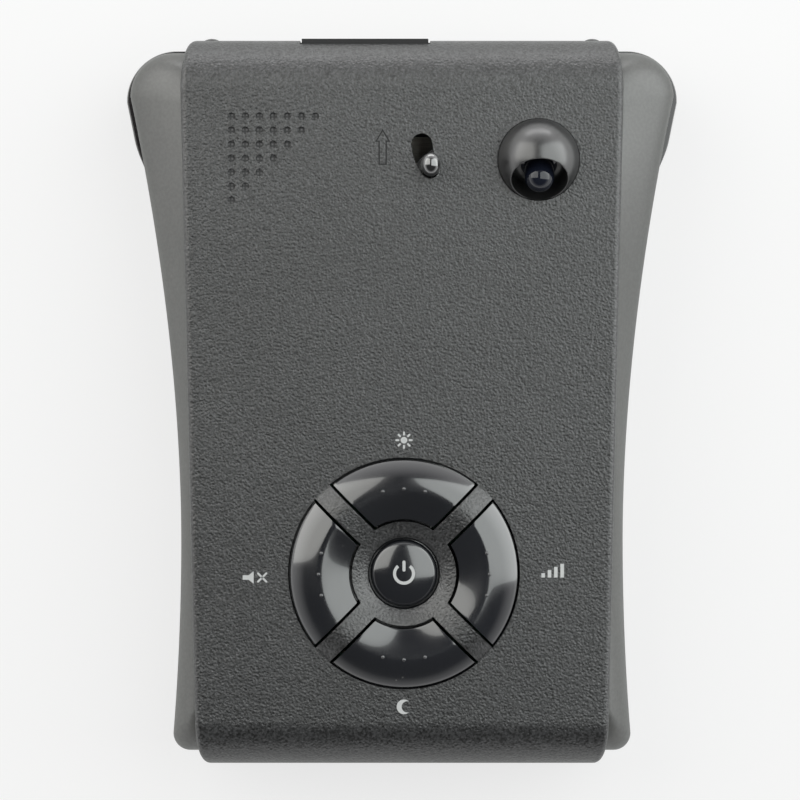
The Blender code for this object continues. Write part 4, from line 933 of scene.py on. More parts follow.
DISPLAY = Finish("display_grey_resin", "display_grey", (0.16, 0.16, 0.17), 0.4, grain=0.01 * MM)
PAPER = Cone("speaker_pulp", "speaker_paper", (0.05, 0.05, 0.053), 0.85, grain=0.04 * MM)
PRINT = Finish(
    "pad_printed_white", "cover_grain", (0.62, 0.63, 0.63), 0.5, grain=0.01 * MM, mottle=0.05,
    wear=0.0, worn=(0.3, 0.3, 0.3),
)


class Bin:
    """Hands out finished materials and puts them on pieces."""

    def __init__(self) -> None:
        """Starts with the shared effects and no material."""
        self.effects = Effects()
        self.made: dict[str, bpy.types.Material] = {}

    def material(self, finish: Finish) -> bpy.types.Material:
        """The material of a finish, made when it is first asked for."""
        if finish.name not in self.made:
            self.made[finish.name] = finish.make(self.effects)
        return self.made[finish.name]

    def dress(self, piece: bpy.types.Object, finish: Finish) -> None:
        """Gives a piece one finish all over.

        Args:
            piece: The object to dress.
            finish: Its finish.
        """
        material = self.material(finish)
        piece.data.materials.clear()
        piece.data.materials.append(material)

    def carry(self, node: bpy.types.Object, finish: Finish) -> None:
        """Gives a CAD node, whose mesh stays as it is, a better material."""
        material = self.material(finish)
        for slot in node.material_slots:
            slot.material = material


def deliver(
    piece: bpy.types.Object, body: Body, finish: Finish, store: Bin, *nodes: str
) -> bpy.types.Object:
    """Dresses a piece, sets it on its body and hides the CAD nodes that it stands for.

    Args:
        piece: The finished shape.
        body: The body that it moves with.
        finish: Its finish.
        store: Where the materials come from.
        nodes: CAD nodes that it replaces.

    Returns:
        The piece.
    """
    store.dress(piece, finish)
    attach(piece, body.value)
    if nodes:
        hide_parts(*nodes)
    LOG.info("%s: %d faces, %s, on %s", piece.name, len(piece.data.polygons), finish.name, body.value)
    return piece


# ------------------------------------------------------------------ the top cover


@dataclass
class ButtonRing:
    """Sizes of the button pad: a swell of the cover that carries four quadrants."""

    x: float = 0.3 * MM
    setback: float = 29.2 * MM
    radius: float = 17.4 * MM
    crest_radius: float = 12.75 * MM
    inner_radius: float = 8.25 * MM
    crest: float = 2.1 * MM
    spoke: float = 2.94 * MM
    dish_radius: float = 6.6 * MM
    dish_rise: float = 0.4 * MM
    dish_slope: float = 0.75
    centre_radius: float = 4.95 * MM
    clearance: float = 0.45 * MM

    @property
    def y(self) -> float:
        """Y of the ring's centre."""
        return self.setback - CASE.front

    def height(self, radius: float) -> float:
        """Height of the swell above the cover at a radius."""
        if radius > self.crest_radius:
            share = (radius - self.crest_radius) / (self.radius - self.crest_radius)
            return self.crest * (1 - min(share, 1.0) ** 1.7)
        share = (self.crest_radius - radius) / (self.crest_radius - self.dish_radius)
        return self.dish_rise + (self.crest - self.dish_rise) * (1 - min(share, 1.0) ** 1.7)

    def place(self, quarter: Quarter = Quarter.RIGHT) -> Matrix:
        """From the ring's own frame to the object's, turned by quarters."""
        return move(self.x, self.y, 0) @ Matrix.Rotation(quarter.value * math.pi / 2, 4, "Z")

    def quadrant(self, name: str, profile: Sequence[Flat], bar: float, steps: int) -> bpy.types.Object:
        """Sweeps a profile over the quarter round +X, less half a bar at each end.

        Args:
            name: The new object's name.
            profile: Closed profile of (radius, height) points.
            bar: Half the width of the bars between the quadrants.
            steps: Number of stretches over the quarter.

        Returns:
            The swept shape.
        """
        rings = []
        for i in range(steps + 1):
            share = 2 * i / steps - 1
            ring = []
            for radius, height in profile:
                angle = share * (math.pi / 4 - math.asin(bar / radius))
                ring.append((radius * math.cos(angle), radius * math.sin(angle), height))
            rings.append(ring)
        return Bench.skin(name, rings)


@dataclass
class LeverSizes:
    """Where the release lever turns, and how far."""

    x: float = 9.75 * MM
    setback: float = 15.9 * MM
    reach: float = 6.8 * MM
    rest: float = math.radians(217.0)
    swing: float = math.radians(33.0)
    slot: float = 3.2 * MM
    knob_radius: float = 1.35 * MM
    knob_rise: float = 4.2 * MM
    knob_stretch: float = 1.2
    knob_shift: float = 0.4 * MM
    plate: float = 1.6 * MM
    hub: float = 3.0 * MM
    post_radius: float = 1.4 * MM
    post_length: float = 6.6 * MM
    tooth_reach: float = 9.0 * MM
    tooth_lead: float = math.radians(-68.0)
    tooth_depth: float = 2.6 * MM
    tooth_share: float = 0.8
    slot_lead: float = math.radians(6)
    bottom: float = 24.0 * MM

    @property
    def y(self) -> float:
        """Y of the pivot."""
        return CASE.front - self.setback

    def spot(self, reach: float, angle: float) -> Flat:
        """Place at a reach and an angle about the pivot."""
        return self.x + reach * math.cos(angle), self.y + reach * math.sin(angle)

    def slot_outline(self, reach: float, half: float, start: float, end: float) -> list[Flat]:
        """Round-ended slot along an arc about the pivot.

        Args:
            reach: Radius of the slot's middle line.
            half: Half of its width.
            start: Angle at one end.
            end: Angle at the other end.

        Returns:
            The outline.
        """
        centre = (self.x, self.y)
        points = arc(centre, reach + half, start, end, 20)
        points += arc(self.spot(reach, end), half, end, end - math.pi, 14)[1:-1]
        points += arc(centre, reach - half, end, start, 20)
        points += arc(self.spot(reach, start), half, start + math.pi, start, 14)[1:-1]
        return points

    def tooth_outline(self, reach: float, half: float) -> list[Flat]:
        """Slot along the tooth's way, which runs on past its swing at each end."""
        start = self.rest + self.tooth_lead
        return self.slot_outline(reach, half, start + self.slot_lead, start - self.swing - self.slot_lead)


@dataclass
class SocketSizes:
    """The bracket's socket in the front edge."""

    x: float = -5.6 * MM
    width: float = 19.2 * MM
    bottom: float = 18.9 * MM
    height: float = 4.8 * MM
    wall: float = 0.9 * MM
    depth: float = 14.5 * MM


@dataclass
class HoodSizes:
    """The hooded light sensor."""

    inset: float = 12.8 * MM
    setback: float = 18.7 * MM
    radius: float = 6.1 * MM
    flange: float = 0.5 * MM
    tilt: float = math.radians(48.0)
    mouth_offset: float = 4.25 * MM
    mouth_wall: float = 0.16 * MM
    seat_gap: float = 0.1 * MM
    mouth_depth: float = 4.2 * MM
    sensor_radius: float = 2.2 * MM
    sensor_collar: float = 0.5 * MM

    @property
    def x(self) -> float:
        """X of the hood's centre."""
        return CASE.front_half - self.inset

    @property
    def y(self) -> float:
        """Y of the hood's centre."""
        return CASE.front - self.setback

    def aim(self) -> Matrix:
        """Stands +Z along the axis of the hood's mouth, from the centre of its sphere."""
        return move(self.x, self.y, CASE.top) @ Matrix.Rotation(self.tilt, 4, "X")


RING = ButtonRing()
LEVER = LeverSizes()
SOCKET_SIZES = SocketSizes()
HOOD_SIZES = HoodSizes()


@dataclass
class TopCover:
    """Grained strap over the top and down both ends, with all its openings."""

    rim: float = 0.9 * MM
    narrowing: float = 1.3 * MM
    front_drape: float = 15.0 * MM
    rear_drape: float = 17.4 * MM
    roll_steps: int = 26
    edge_steps: int = 7
    nub_spacing: float = 58.2 * MM
    nub_radius: float = 1.5 * MM
    nub_height: float = 4.0 * MM
    nub_reach: float = 0.5 * MM
    grille_inset: float = 7.7 * MM
    grille_setback: float = 12.2 * MM
    grille_pitch: float = 2.1 * MM
    grille_hole: float = 1.14 * MM
    grille_rows: int = 7
    arrow_x: float = -2.9 * MM
    arrow_setback: float = 16.8 * MM
    arrow_length: float = 5.4 * MM
    arrow_head: float = 2.3 * MM
    arrow_line: float = 0.19 * MM
    arrow_rise: float = 0.03 * MM
    skin: float = 0.45 * MM
    soft_edge: float = 0.12 * MM

    def build(self, store: Bin) -> None:
        """Models the cover and dresses it.

        Args:
            store: Where the materials come from.
        """
        cover = self.strap()
        Bench.add(cover, self.swell())
        for tool in self.openings():
            Bench.cut(cover, tool)
        Bench.add(cover, self.post())
        for tool in self.nubs():
            Bench.add(cover, tool)
        Bench.finish(cover, self.soft_edge, 2, 38.0)
        deliver(cover, Body.CASE, COVER, store, "top_cover")
        # The arrow's dark outline is a painted shadow of its raised edges.
        deliver(self.arrow(), Body.CASE, ARROW_SHADOW, store)
        low, high = self.pocket(0.15 * MM)
        foot, face = CASE.top - 1.0 * MM, CASE.top - self.skin - 0.05 * MM
        cloth = Bench.block("grille_cloth", (*low, foot), (*high, face))
        deliver(Bench.finish(cloth, 0.05 * MM), Body.CASE, CLOTH, store)

    def stations(self) -> list[tuple[float, float, float, float, float]]:
        """(y, z, outward y, outward z, half width) along the strap, front edge to rear edge."""
        front_y, front_z = CASE.front - CASE.front_roll, CASE.top - CASE.front_roll
        rear_y, rear_z = CASE.rear_roll - CASE.front, CASE.top - CASE.rear_roll
        narrow = self.narrowing
        rows = [(CASE.front, self.front_drape, 1.0, 0.0, CASE.cover_half(front_y) - 1.3 * narrow)]
        turns = [math.pi / 2 * i / self.roll_steps for i in range(self.roll_steps + 1)]
        for turn in turns:
            half = CASE.cover_half(front_y) - narrow * (1 - math.sin(turn))
            y, z = CASE.front_roll * math.cos(turn), CASE.front_roll * math.sin(turn)
            rows.append((front_y + y, front_z + z, math.cos(turn), math.sin(turn), half))
        for i in range(1, 8):
            y = front_y + (rear_y - front_y) * i / 8
            rows.append((y, CASE.top, 0.0, 1.0, CASE.cover_half(y)))
        for turn in reversed(turns):
            half = CASE.cover_half(rear_y) - narrow * (1 - math.sin(turn))
            y, z = CASE.rear_roll * math.cos(turn), CASE.rear_roll * math.sin(turn)
            rows.append((rear_y - y, rear_z + z, -math.cos(turn), math.sin(turn), half))
        rows.append((-CASE.front, self.rear_drape, -1.0, 0.0, CASE.cover_half(rear_y) - 1.3 * narrow))
        return rows

    def strap(self) -> bpy.types.Object:
        """The plain strap, round along its long edges."""
        rings = []
        for y, z, ny, nz, half in self.stations():
            edge = [(half, CASE.wall)]
            for step in range(self.edge_steps + 1):
                turn = math.pi / 2 * step / self.edge_steps
                edge.append((half - self.rim * (1 - math.cos(turn)), self.rim * (1 - math.sin(turn))))
            section = edge + [(-x, sink) for x, sink in reversed(edge)]
            rings.append([(x, y - ny * sink, z - nz * sink) for x, sink in section])
        return Bench.skin("cover_strap", rings)

    def swell(self) -> bpy.types.Object:
        """The ring-shaped swell that the buttons lie in."""
        outer = RING.radius + 0.5 * MM
        profile = [(0.0, CASE.under + 0.5 * MM), (outer, CASE.under + 0.5 * MM)]
        profile.append((outer, CASE.top - 0.3 * MM))
        for i in range(25):
            radius = RING.radius + (RING.dish_radius - RING.radius) * i / 24
            profile.append((radius, CASE.top + RING.height(radius)))
        profile.append((0.0, CASE.top + RING.dish_rise))
        return Bench.turned("swell", profile, 144, RING.place())

    def openings(self) -> list[bpy.types.Object]:
        """Tools for the dish, the wells, the grille, the slot, the hood and the socket."""
        low, high = CASE.under - MM, CASE.top + MM
        hole = RING.centre_radius + RING.clearance
        floor = RING.dish_rise - RING.dish_slope * (RING.dish_radius - hole)
        rim = RING.dish_rise + MM
        dish = [(0.0, low), (hole, low), (hole, CASE.top + floor)]
        dish += [(RING.dish_radius + MM / RING.dish_slope, CASE.top + rim), (0.0, CASE.top + rim)]
        tools = [Bench.turned("dish", dish, 96, RING.place())]
        inner = RING.inner_radius - RING.clearance
        top = CASE.top + RING.crest + MM
        well = [(RING.radius, low), (RING.radius, top), (inner, top), (inner, low)]
        for quarter in Quarter:
            tool = RING.quadrant("well", well, RING.spoke / 2, 36)
            tools.append(Bench.settle(tool, RING.place(quarter)))
        tools.append(self.grille())
        pocket_low, pocket_high = self.pocket(0.0)
        tools.append(Bench.block("pocket", (*pocket_low, low), (*pocket_high, CASE.top - self.skin)))
        slot = LEVER.slot_outline(LEVER.reach, LEVER.slot / 2, LEVER.rest, LEVER.rest - LEVER.swing)
        tools.append(Bench.skin("slot", [at(slot, low), at(slot, high)]))
        seat = rod(HOOD_SIZES.radius + HOOD_SIZES.seat_gap, low, high)
        tools.append(Bench.turned("hood_seat", seat, 72, move(HOOD_SIZES.x, HOOD_SIZES.y, 0)))
        half = SOCKET_SIZES.width / 2 + GAP
        bottom, ceiling = SOCKET_SIZES.bottom - GAP, SOCKET_SIZES.bottom + SOCKET_SIZES.height + GAP
        corner_low = (SOCKET_SIZES.x - half, CASE.front - 5 * MM, bottom)
        corner_high = (SOCKET_SIZES.x + half, CASE.front + 5 * MM, ceiling)
        tools.append(Bench.block("port", corner_low, corner_high))
        return tools

    def grille(self) -> bpy.types.Object:
        """Round drills in straight rows that make a triangle: one is modelled, the rest are copies."""
        first = rod(self.grille_hole / 2, CASE.under - MM, CASE.top + MM)
        spot = (self.grille_inset - CASE.front_half, CASE.front - self.grille_setback)
        drill = Bench.turned("drill", first, 20, move(*spot, 0))
        drills = [drill]
        for row in range(self.grille_rows):
            for column in range(self.grille_rows - row):
                if row or column:
                    shift = move(column * self.grille_pitch, -row * self.grille_pitch, 0)
                    drills.append(Bench.copy(drill, shift))
        return Bench.join(drills, "grille")

    def pocket(self, inset: float) -> tuple[Flat, Flat]:
        """Corners of the shallow pocket under the grille, drawn in by an inset."""
        x, y = self.grille_inset - CASE.front_half, CASE.front - self.grille_setback
        reach, margin = (self.grille_rows - 1) * self.grille_pitch, 1.5 * MM - inset
        return (x - margin, y - reach - margin), (x + reach + margin, y + margin)

    def post(self) -> bpy.types.Object:
        """The pin under the cover that the lever turns on."""
        profile = rod(LEVER.post_radius, CASE.under - LEVER.post_length, CASE.under + GAP)
        return Bench.turned("post", profile, 32, move(LEVER.x, LEVER.y, 0))

    def nubs(self) -> list[bpy.types.Object]:
        """The two small bumpers on the front end."""
        tools = []
        reach = 0.45 * (self.nub_reach + CASE.wall)
        for side in (-1, 1):
            profile = rod(self.nub_radius, 0.0, self.nub_height, 0.4 * MM)
            spot = (side * self.nub_spacing / 2, CASE.front + self.nub_reach - reach)
            place = move(*spot, self.front_drape + 0.6 * MM) @ Matrix.Diagonal(
                (1, reach / self.nub_radius, 1, 1)
            )
            tools.append(Bench.turned("nub", profile, 36, place))
        return tools

    def arrow(self) -> bpy.types.Object:
        """Outline of an arrow that points to the front: a dark line, smooth in the grain, that paints the
        shadow along its raised edges.
        """
        outer, inner = self.arrow_outline(0.0), self.arrow_outline(self.arrow_line)
        low, high = CASE.top - 4 * self.arrow_rise, CASE.top + self.arrow_rise
        rings = [at(outer, low), at(outer, high), at(inner, high), at(inner, low)]
        arrow = Bench.finish(Bench.skin("arrow_shadow_line", rings, wrap=True), 0.0)
        return Bench.settle(arrow, move(self.arrow_x, CASE.front - self.arrow_setback, 0))

    def arrow_outline(self, inset: float) -> list[Flat]:
        """Outline of the arrow, drawn in square to its sides."""
        half_head, head = self.arrow_head / 2, self.arrow_head * 0.85
        half_shaft = self.arrow_head * 0.27
        tip = self.arrow_length / 2 - inset * math.hypot(half_head, head) / half_head
        base = self.arrow_length / 2 - head + inset
        wing = half_head * (tip - base) / head
        shaft, foot = half_shaft - inset, inset - self.arrow_length / 2
        right = [(wing, base), (shaft, base), (shaft, foot)]
        return [(0.0, tip)] + right + [(-x, y) for x, y in reversed(right)]


# ------------------------------------------------------------------ the housing


@dataclass
class Housing:
    """Waisted housing: the upper half with its wings, the lower half with its ports."""

    wall: float = 1.8 * MM
    ledge: float = 2.6 * MM
    bottom_wall: float = 2.0 * MM
    bend: float = 3.0 * MM
    port_half: float = 30.0 * MM
    screw_inset: float = 6.4 * MM
    screw_setbacks: tuple[float, float] = (35.0 * MM, 15.0 * MM)
    screw_head: float = 2.4 * MM
    screw_radius: float = 1.2 * MM
    screw_sink: float = 4.0 * MM
    soft_edge: float = 0.15 * MM
    relief_inset: float = 1.5 * MM
    relief_margin: float = 2.1 * MM
    outer_shares: tuple[float, ...] = (
        0.1, 0.2, 0.3, 0.4, 0.5, 0.6, 0.68, 0.76, 0.83, 0.88, 0.92, 0.95, 0.975, 0.99, 0.998, 1.0,
    )
    inner_shares: tuple[float, ...] = (0.98, 0.92, 0.8, 0.6, 0.4, 0.2)

    def build(self, store: Bin) -> None:
        """Models both halves and dresses them.

        Args:
            store: Where the materials come from.
        """
        deliver(self.upper(), Body.CASE, SHELL, store, "upper_housing")
        deliver(self.lower(), Body.CASE, SHELL, store, "lower_housing")

    @staticmethod
    def drop(share: float, endwise: float) -> float:
        """Share of the fall from seat to rim: a crisp slope sideways, a roll over the ends."""
        slope = 0.8 * share + 0.2 * (1 - math.sqrt(1 - share**12))
        return slope + (1 - math.sqrt(1 - share**2) - slope) * endwise

    def wing_ring(
        self, start: Sequence[Flat], end: Sequence[Flat], share: float, top: float, bottom: float
    ) -> list[Point]:
        """One ring of the wing between two outlines.

        Args:
            start: Outline at the seat.
            end: Outline at the rim.
            share: How far along the ring lies.
            top: Height of the seat.
            bottom: Height of the rim.

        Returns:
            The ring.
        """
        ring = []
        for (ax, ay), (bx, by) in zip(start, end):
            across, along = bx - ax, by - ay
            fall = self.drop(share, along**2 / (across**2 + along**2))
            ring.append((ax + across * share, ay + along * share, top - (top - bottom) * fall))
        return ring

    def upper(self) -> bpy.types.Object:
        """The upper half: wings that flare from under the cover to the rim."""
        opening, seat, rim = CASE.seat_plan(self.ledge), CASE.seat_plan(0.4 * MM), CASE.housing_plan(0)
        inner_rim = CASE.housing_plan(self.wall)
        under, shoulder = CASE.housing_top - self.wall, CASE.rim_height - self.wall / 2
        rings = [at(opening, CASE.housing_top), at(seat, CASE.housing_top)]
        for share in self.outer_shares:
            rings.append(self.wing_ring(seat, rim, share, CASE.housing_top, CASE.rim_height))
        rings += [at(rim, CASE.parting), at(inner_rim, CASE.parting), at(inner_rim, shoulder)]
        for share in self.inner_shares:
            rings.append(self.wing_ring(opening, inner_rim, share, under, shoulder))
        rings.append(at(opening, under))
        upper = Bench.skin("wing_housing", rings, wrap=True)
        Bench.cut(upper, RearWindow().plate(GAP, 10 * MM))
        half = SOCKET_SIZES.width / 2 + GAP
        low = (SOCKET_SIZES.x - half, CASE.housing_front - 11 * MM, SOCKET_SIZES.bottom - GAP)
        high = (SOCKET_SIZES.x + half, CASE.housing_front + 3 * MM, CASE.top)
        Bench.cut(upper, Bench.block("socket_notch", low, high))
        relief_reach = LEVER.tooth_reach - self.relief_inset
        relief_half = LEVER.knob_radius + self.relief_margin
        relief = LEVER.tooth_outline(relief_reach, relief_half)
        foot = LEVER.bottom - LEVER.tooth_depth - GAP
        Bench.cut(upper, Bench.skin("arm_relief", [at(relief, foot), at(relief, CASE.top)]))
        return Bench.finish(upper, self.soft_edge, 2, 40.0)

    def lower(self) -> bpy.types.Object:
        """The lower half: a tub with a rolled bottom edge, open behind both windows."""
        top, bend = CASE.parting - GAP, self.bend
        side = CASE.side_inset(bend)
        rings = []
        for angle in range(90, -1, -10):
            turn = math.radians(angle)
            inset = side + bend * (1 - math.cos(turn))
            rings.append(at(CASE.housing_plan(inset), bend * (1 - math.sin(turn))))
        rings.append(at(CASE.housing_plan(CASE.side_inset(top)), top))
        rings.append(at(CASE.housing_plan(CASE.side_inset(top) + self.wall), top))
        rings.append(at(CASE.housing_plan(side + self.wall), bend + self.bottom_wall / 2))
        rings.append(at(CASE.housing_plan(side + self.wall + bend / 2), self.bottom_wall))
        lower = Bench.skin("tub_housing", rings)
        Bench.cut(lower, FrontWindow().band(6 * MM, GAP))
        half, reach = self.port_half, 6 * MM
        low = (-half, CASE.housing_front - reach, FrontWindow().bottom)
        high = (half, CASE.housing_front + reach, CASE.parting + 2 * MM)
        Bench.cut(lower, Bench.block("port", low, high))
        Bench.cut(lower, RearWindow().plate(GAP, 10 * MM))
        inlet = PowerInlet()
        hole = rod(inlet.bore + 1.3 * MM, -4 * MM, 6 * MM)
        Bench.cut(lower, Bench.turned("inlet_hole", hole, 64, inlet.aim(-CASE.rim_half(inlet.y))))
        for x, y in self.screw_places():
            sleeve = rod(self.screw_radius * 2.8 + 0.04 * MM, 1 * MM, self.screw_sink + 3 * MM)
            Bench.add(lower, Bench.turned("sleeve", sleeve, 36, move(x, y, 0)))
            bore = [(0.0, -MM), (self.screw_head + GAP, -MM), (self.screw_head + GAP, self.screw_sink)]
            bore += [(self.screw_radius + GAP, self.screw_sink), (self.screw_radius + GAP, 9 * MM)]
            Bench.cut(lower, Bench.turned("screw_bore", bore + [(0.0, 9 * MM)], 36, move(x, y, 0)))
        return Bench.finish(lower, self.soft_edge, 2, 40.0)

    def screw_places(self) -> list[Flat]:
        """Centres of the four case screws."""
        rows = (CASE.front - self.screw_setbacks[0], self.screw_setbacks[1] - CASE.front)
        return [
            (side * (CASE.cover_half(y) - self.screw_inset), y) for y in rows for side in (-1, 1)
        ]


@dataclass
class FrontWindow:
    """Dark infrared window that wraps round the front of the lower housing."""

    bottom: float = 4.2 * MM
    bulge: float = 1.6 * MM
    wall: float = 2.4 * MM
    setback: float = 23.0 * MM
    taper: float = 9.0 * MM
    least_crown: float = 0.3
    crown: tuple[Flat, ...] = (
        (0.0, -0.6), (0.05, -0.35), (0.12, -0.18), (0.25, -0.06), (0.5, 0.0),
        (0.72, -0.05), (0.86, -0.16), (0.95, -0.3), (1.0, -0.5),
    )

    def build(self, store: Bin) -> None:
        """Models the window and dresses it."""
        window = Bench.finish(self.band(0.0, 0.0), 0.1 * MM, 2, 40.0)
        deliver(window, Body.CASE, SMOKE, store, "front_lens")

    def band(self, outward: float, spread: float) -> bpy.types.Object:
        """The band, or with an outward reach and a spread the tool for its seat.

        Args:
            outward: Added to its outer face.
            spread: Added to its inner face and its ends.

        Returns:
            The closed band.
        """
        path = self._path(spread)
        lengths = [0.0]
        for (ax, ay), (bx, by) in zip(path, path[1:]):
            lengths.append(lengths[-1] + math.hypot(bx - ax, by - ay))
        last = len(path) - 1
        bottom = self.bottom - spread
        top = CASE.parting - GAP if spread == 0 else CASE.parting + MM
        rings = []
        for i, (x, y) in enumerate(path):
            (ax, ay), (bx, by) = path[max(i - 1, 0)], path[min(i + 1, last)]
            size = math.hypot(bx - ax, by - ay)
            nx, ny = (by - ay) / size, (ax - bx) / size
            reach = min(lengths[i], lengths[-1] - lengths[i])
            share = smooth_step(reach / self.taper)
            swell = self.bulge * share + outward
            soften = self.least_crown + (1 - self.least_crown) * share
            ring = []
            for level, sink in self.crown:
                z = bottom + (top - bottom) * level
                out = swell + sink * soften * MM - CASE.lean * (CASE.parting - z)
                ring.append((x + nx * out, y + ny * out, z))
            for z in (top, bottom):
                inwards = self.bulge - self.wall - spread - CASE.lean * (CASE.parting - z) - 0.6 * MM
                ring.append((x + nx * inwards, y + ny * inwards, z))
            rings.append(ring)
        return Bench.skin("front_window", rings)

    def _path(self, spread: float) -> list[Flat]:
        """Plan line of the band from the right end to the left end."""
        front, corner = CASE.housing_front, CASE.front_corner
        side_front, end_y = front - corner, CASE.front - self.setback - spread
        right = [(CASE.rim_half(y), y) for y in (end_y + (side_front - end_y) * i / 16 for i in range(16))]
        corner_x = CASE.rim_half(side_front) - corner
        right += arc((corner_x, side_front), corner, 0.0, math.pi / 2, 20)
        right += [(corner_x * (1 - i / 6), front) for i in range(1, 7)]
        return right + [(-x, y) for x, y in reversed(right[:-1])]


@dataclass
class RearWindow:
    """Smoked plate over the display, across the rear end."""

    half: float = 26.5 * MM
    bottom: float = 3.6 * MM
    top: float = 17.4 * MM - GAP
    wall: float = 2.8 * MM
    corner: float = 2.0 * MM
    sink: float = 0.3 * MM

    def build(self, store: Bin) -> None:
        """Models the window and dresses it."""
        window = Bench.finish(self.plate(0.0, 0.0), 0.35 * MM, 4, 40.0)
        deliver(window, Body.CASE, GLASS, store, "display_window")

    def plate(self, spread: float, depth: float) -> bpy.types.Object:
        """The plate, or with a spread and a depth the tool for its opening.

        Args:
            spread: Added all round its outline.
            depth: How much deeper the tool goes.

        Returns:
            The closed plate.
        """
        middle = (self.top + self.bottom) / 2
        outline = rounded_rectangle(
            self.half + spread, (self.top - self.bottom) / 2 + spread, self.corner
        )
        outer = CASE.front - self.sink + (4 * MM if spread else 0.0)
        inner = CASE.front - self.sink - self.wall - (depth if spread else 0.0)
        rings = [[(x, -y, z + middle) for x, z in outline] for y in (inner, outer)]
        return Bench.skin("rear_window", rings)


# ------------------------------------------------------------------ fittings


@dataclass
class BracketSocket:
    """Black socket in the front edge that takes the bracket's blade."""

    def build(self, store: Bin) -> None:
        """Models the socket and dresses it."""
        size = SOCKET_SIZES
        half, top = size.width / 2, size.bottom + size.height
        low = (size.x - half, CASE.front - size.depth, size.bottom)
        socket = Bench.block("blade_socket", low, (size.x + half, CASE.front, top))
        inner = half - size.wall
        low = (size.x - inner, CASE.front - size.depth + size.wall, size.bottom + size.wall)
        Bench.cut(socket, Bench.block("space", low, (size.x + inner, CASE.front + MM, top - size.wall)))
        slot = LEVER.tooth_outline(LEVER.tooth_reach, LEVER.knob_radius * LEVER.tooth_share + GAP)
        foot = LEVER.bottom - LEVER.tooth_depth - GAP
        Bench.cut(socket, Bench.skin("tooth_slot", [at(slot, foot), at(slot, LEVER.bottom + MM)]))
        Bench.finish(socket, 0.14 * MM, 2, 40.0)
        deliver(socket, Body.CASE, SOCKET, store, "bracket_socket")


@dataclass
class LightSensor:
    """Photodiode under a round hood that is open towards the rear."""

    steps: int = 96

    def build(self, store: Bin) -> None:
        """Models the hood and the diode and dresses them."""
        deliver(self.hood(), Body.CASE, HOOD, store, "sensor_dome")
        deliver(self.diode(), Body.CASE, DIODE, store, "sensor_lens")

    def hood(self) -> bpy.types.Object:
        """The hood: a half sphere on a flange, cut off and bored along the tilted axis."""
        size = HOOD_SIZES
        flange, seat = size.radius + GAP + size.flange, CASE.under - GAP
        foot = seat - 1.2 * MM
        profile = [(0.0, foot), (flange, foot), (flange, seat), (size.radius, seat)]
        for i in range(33):
            turn = math.pi / 2 * i / 32
            profile.append((size.radius * math.cos(turn), CASE.top + size.radius * math.sin(turn)))
        hood = Bench.turned("sensor_hood", profile, self.steps, move(size.x, size.y, 0))
        face = rod(2 * size.radius, size.mouth_offset, 2 * size.radius)
        Bench.cut(hood, Bench.turned("mouth_face", face, 16, size.aim()))
        mouth = math.sqrt(size.radius**2 - size.mouth_offset**2) - size.mouth_wall
        end = size.mouth_offset - size.mouth_depth
        bore = [(0.0, end), (mouth - 1.6 * MM, end)]
        bore += [(mouth - 1.6 * MM + x, end + 1.6 * MM - y) for x, y in self._bend(1.6 * MM)]
        bore += [(mouth, size.mouth_offset + MM), (0.0, size.mouth_offset + MM)]
        Bench.cut(hood, Bench.turned("mouth_bore", bore, self.steps, size.aim()))
        return Bench.finish(hood, 0.06 * MM, 2, 38.0)

    @staticmethod
    def _bend(radius: float) -> list[Flat]:
        """Quarter bend from a floor into a wall, as (outwards, upwards to go) points."""
        turns = [math.pi / 2 * i / 8 for i in range(1, 9)]
        return [(radius * math.sin(turn), radius * math.cos(turn)) for turn in turns]

    @staticmethod
    def diode() -> bpy.types.Object:
        """The diode: collar, barrel and round nose on the hood's axis."""
        size = HOOD_SIZES
        foot = size.mouth_offset - size.mouth_depth + GAP
        collar, nose = size.sensor_radius + size.sensor_collar, size.radius - size.sensor_radius
        profile = [(0.0, foot), (collar, foot), (collar, foot + MM), (size.sensor_radius, foot + MM)]
        for i in range(17):
            turn = math.pi / 2 * i / 16
            height = nose + size.sensor_radius * math.sin(turn)
            profile.append((size.sensor_radius * math.cos(turn), height))
        return Bench.finish(Bench.turned("photodiode", profile, 64, size.aim()), 0.08 * MM, 2, 40.0)


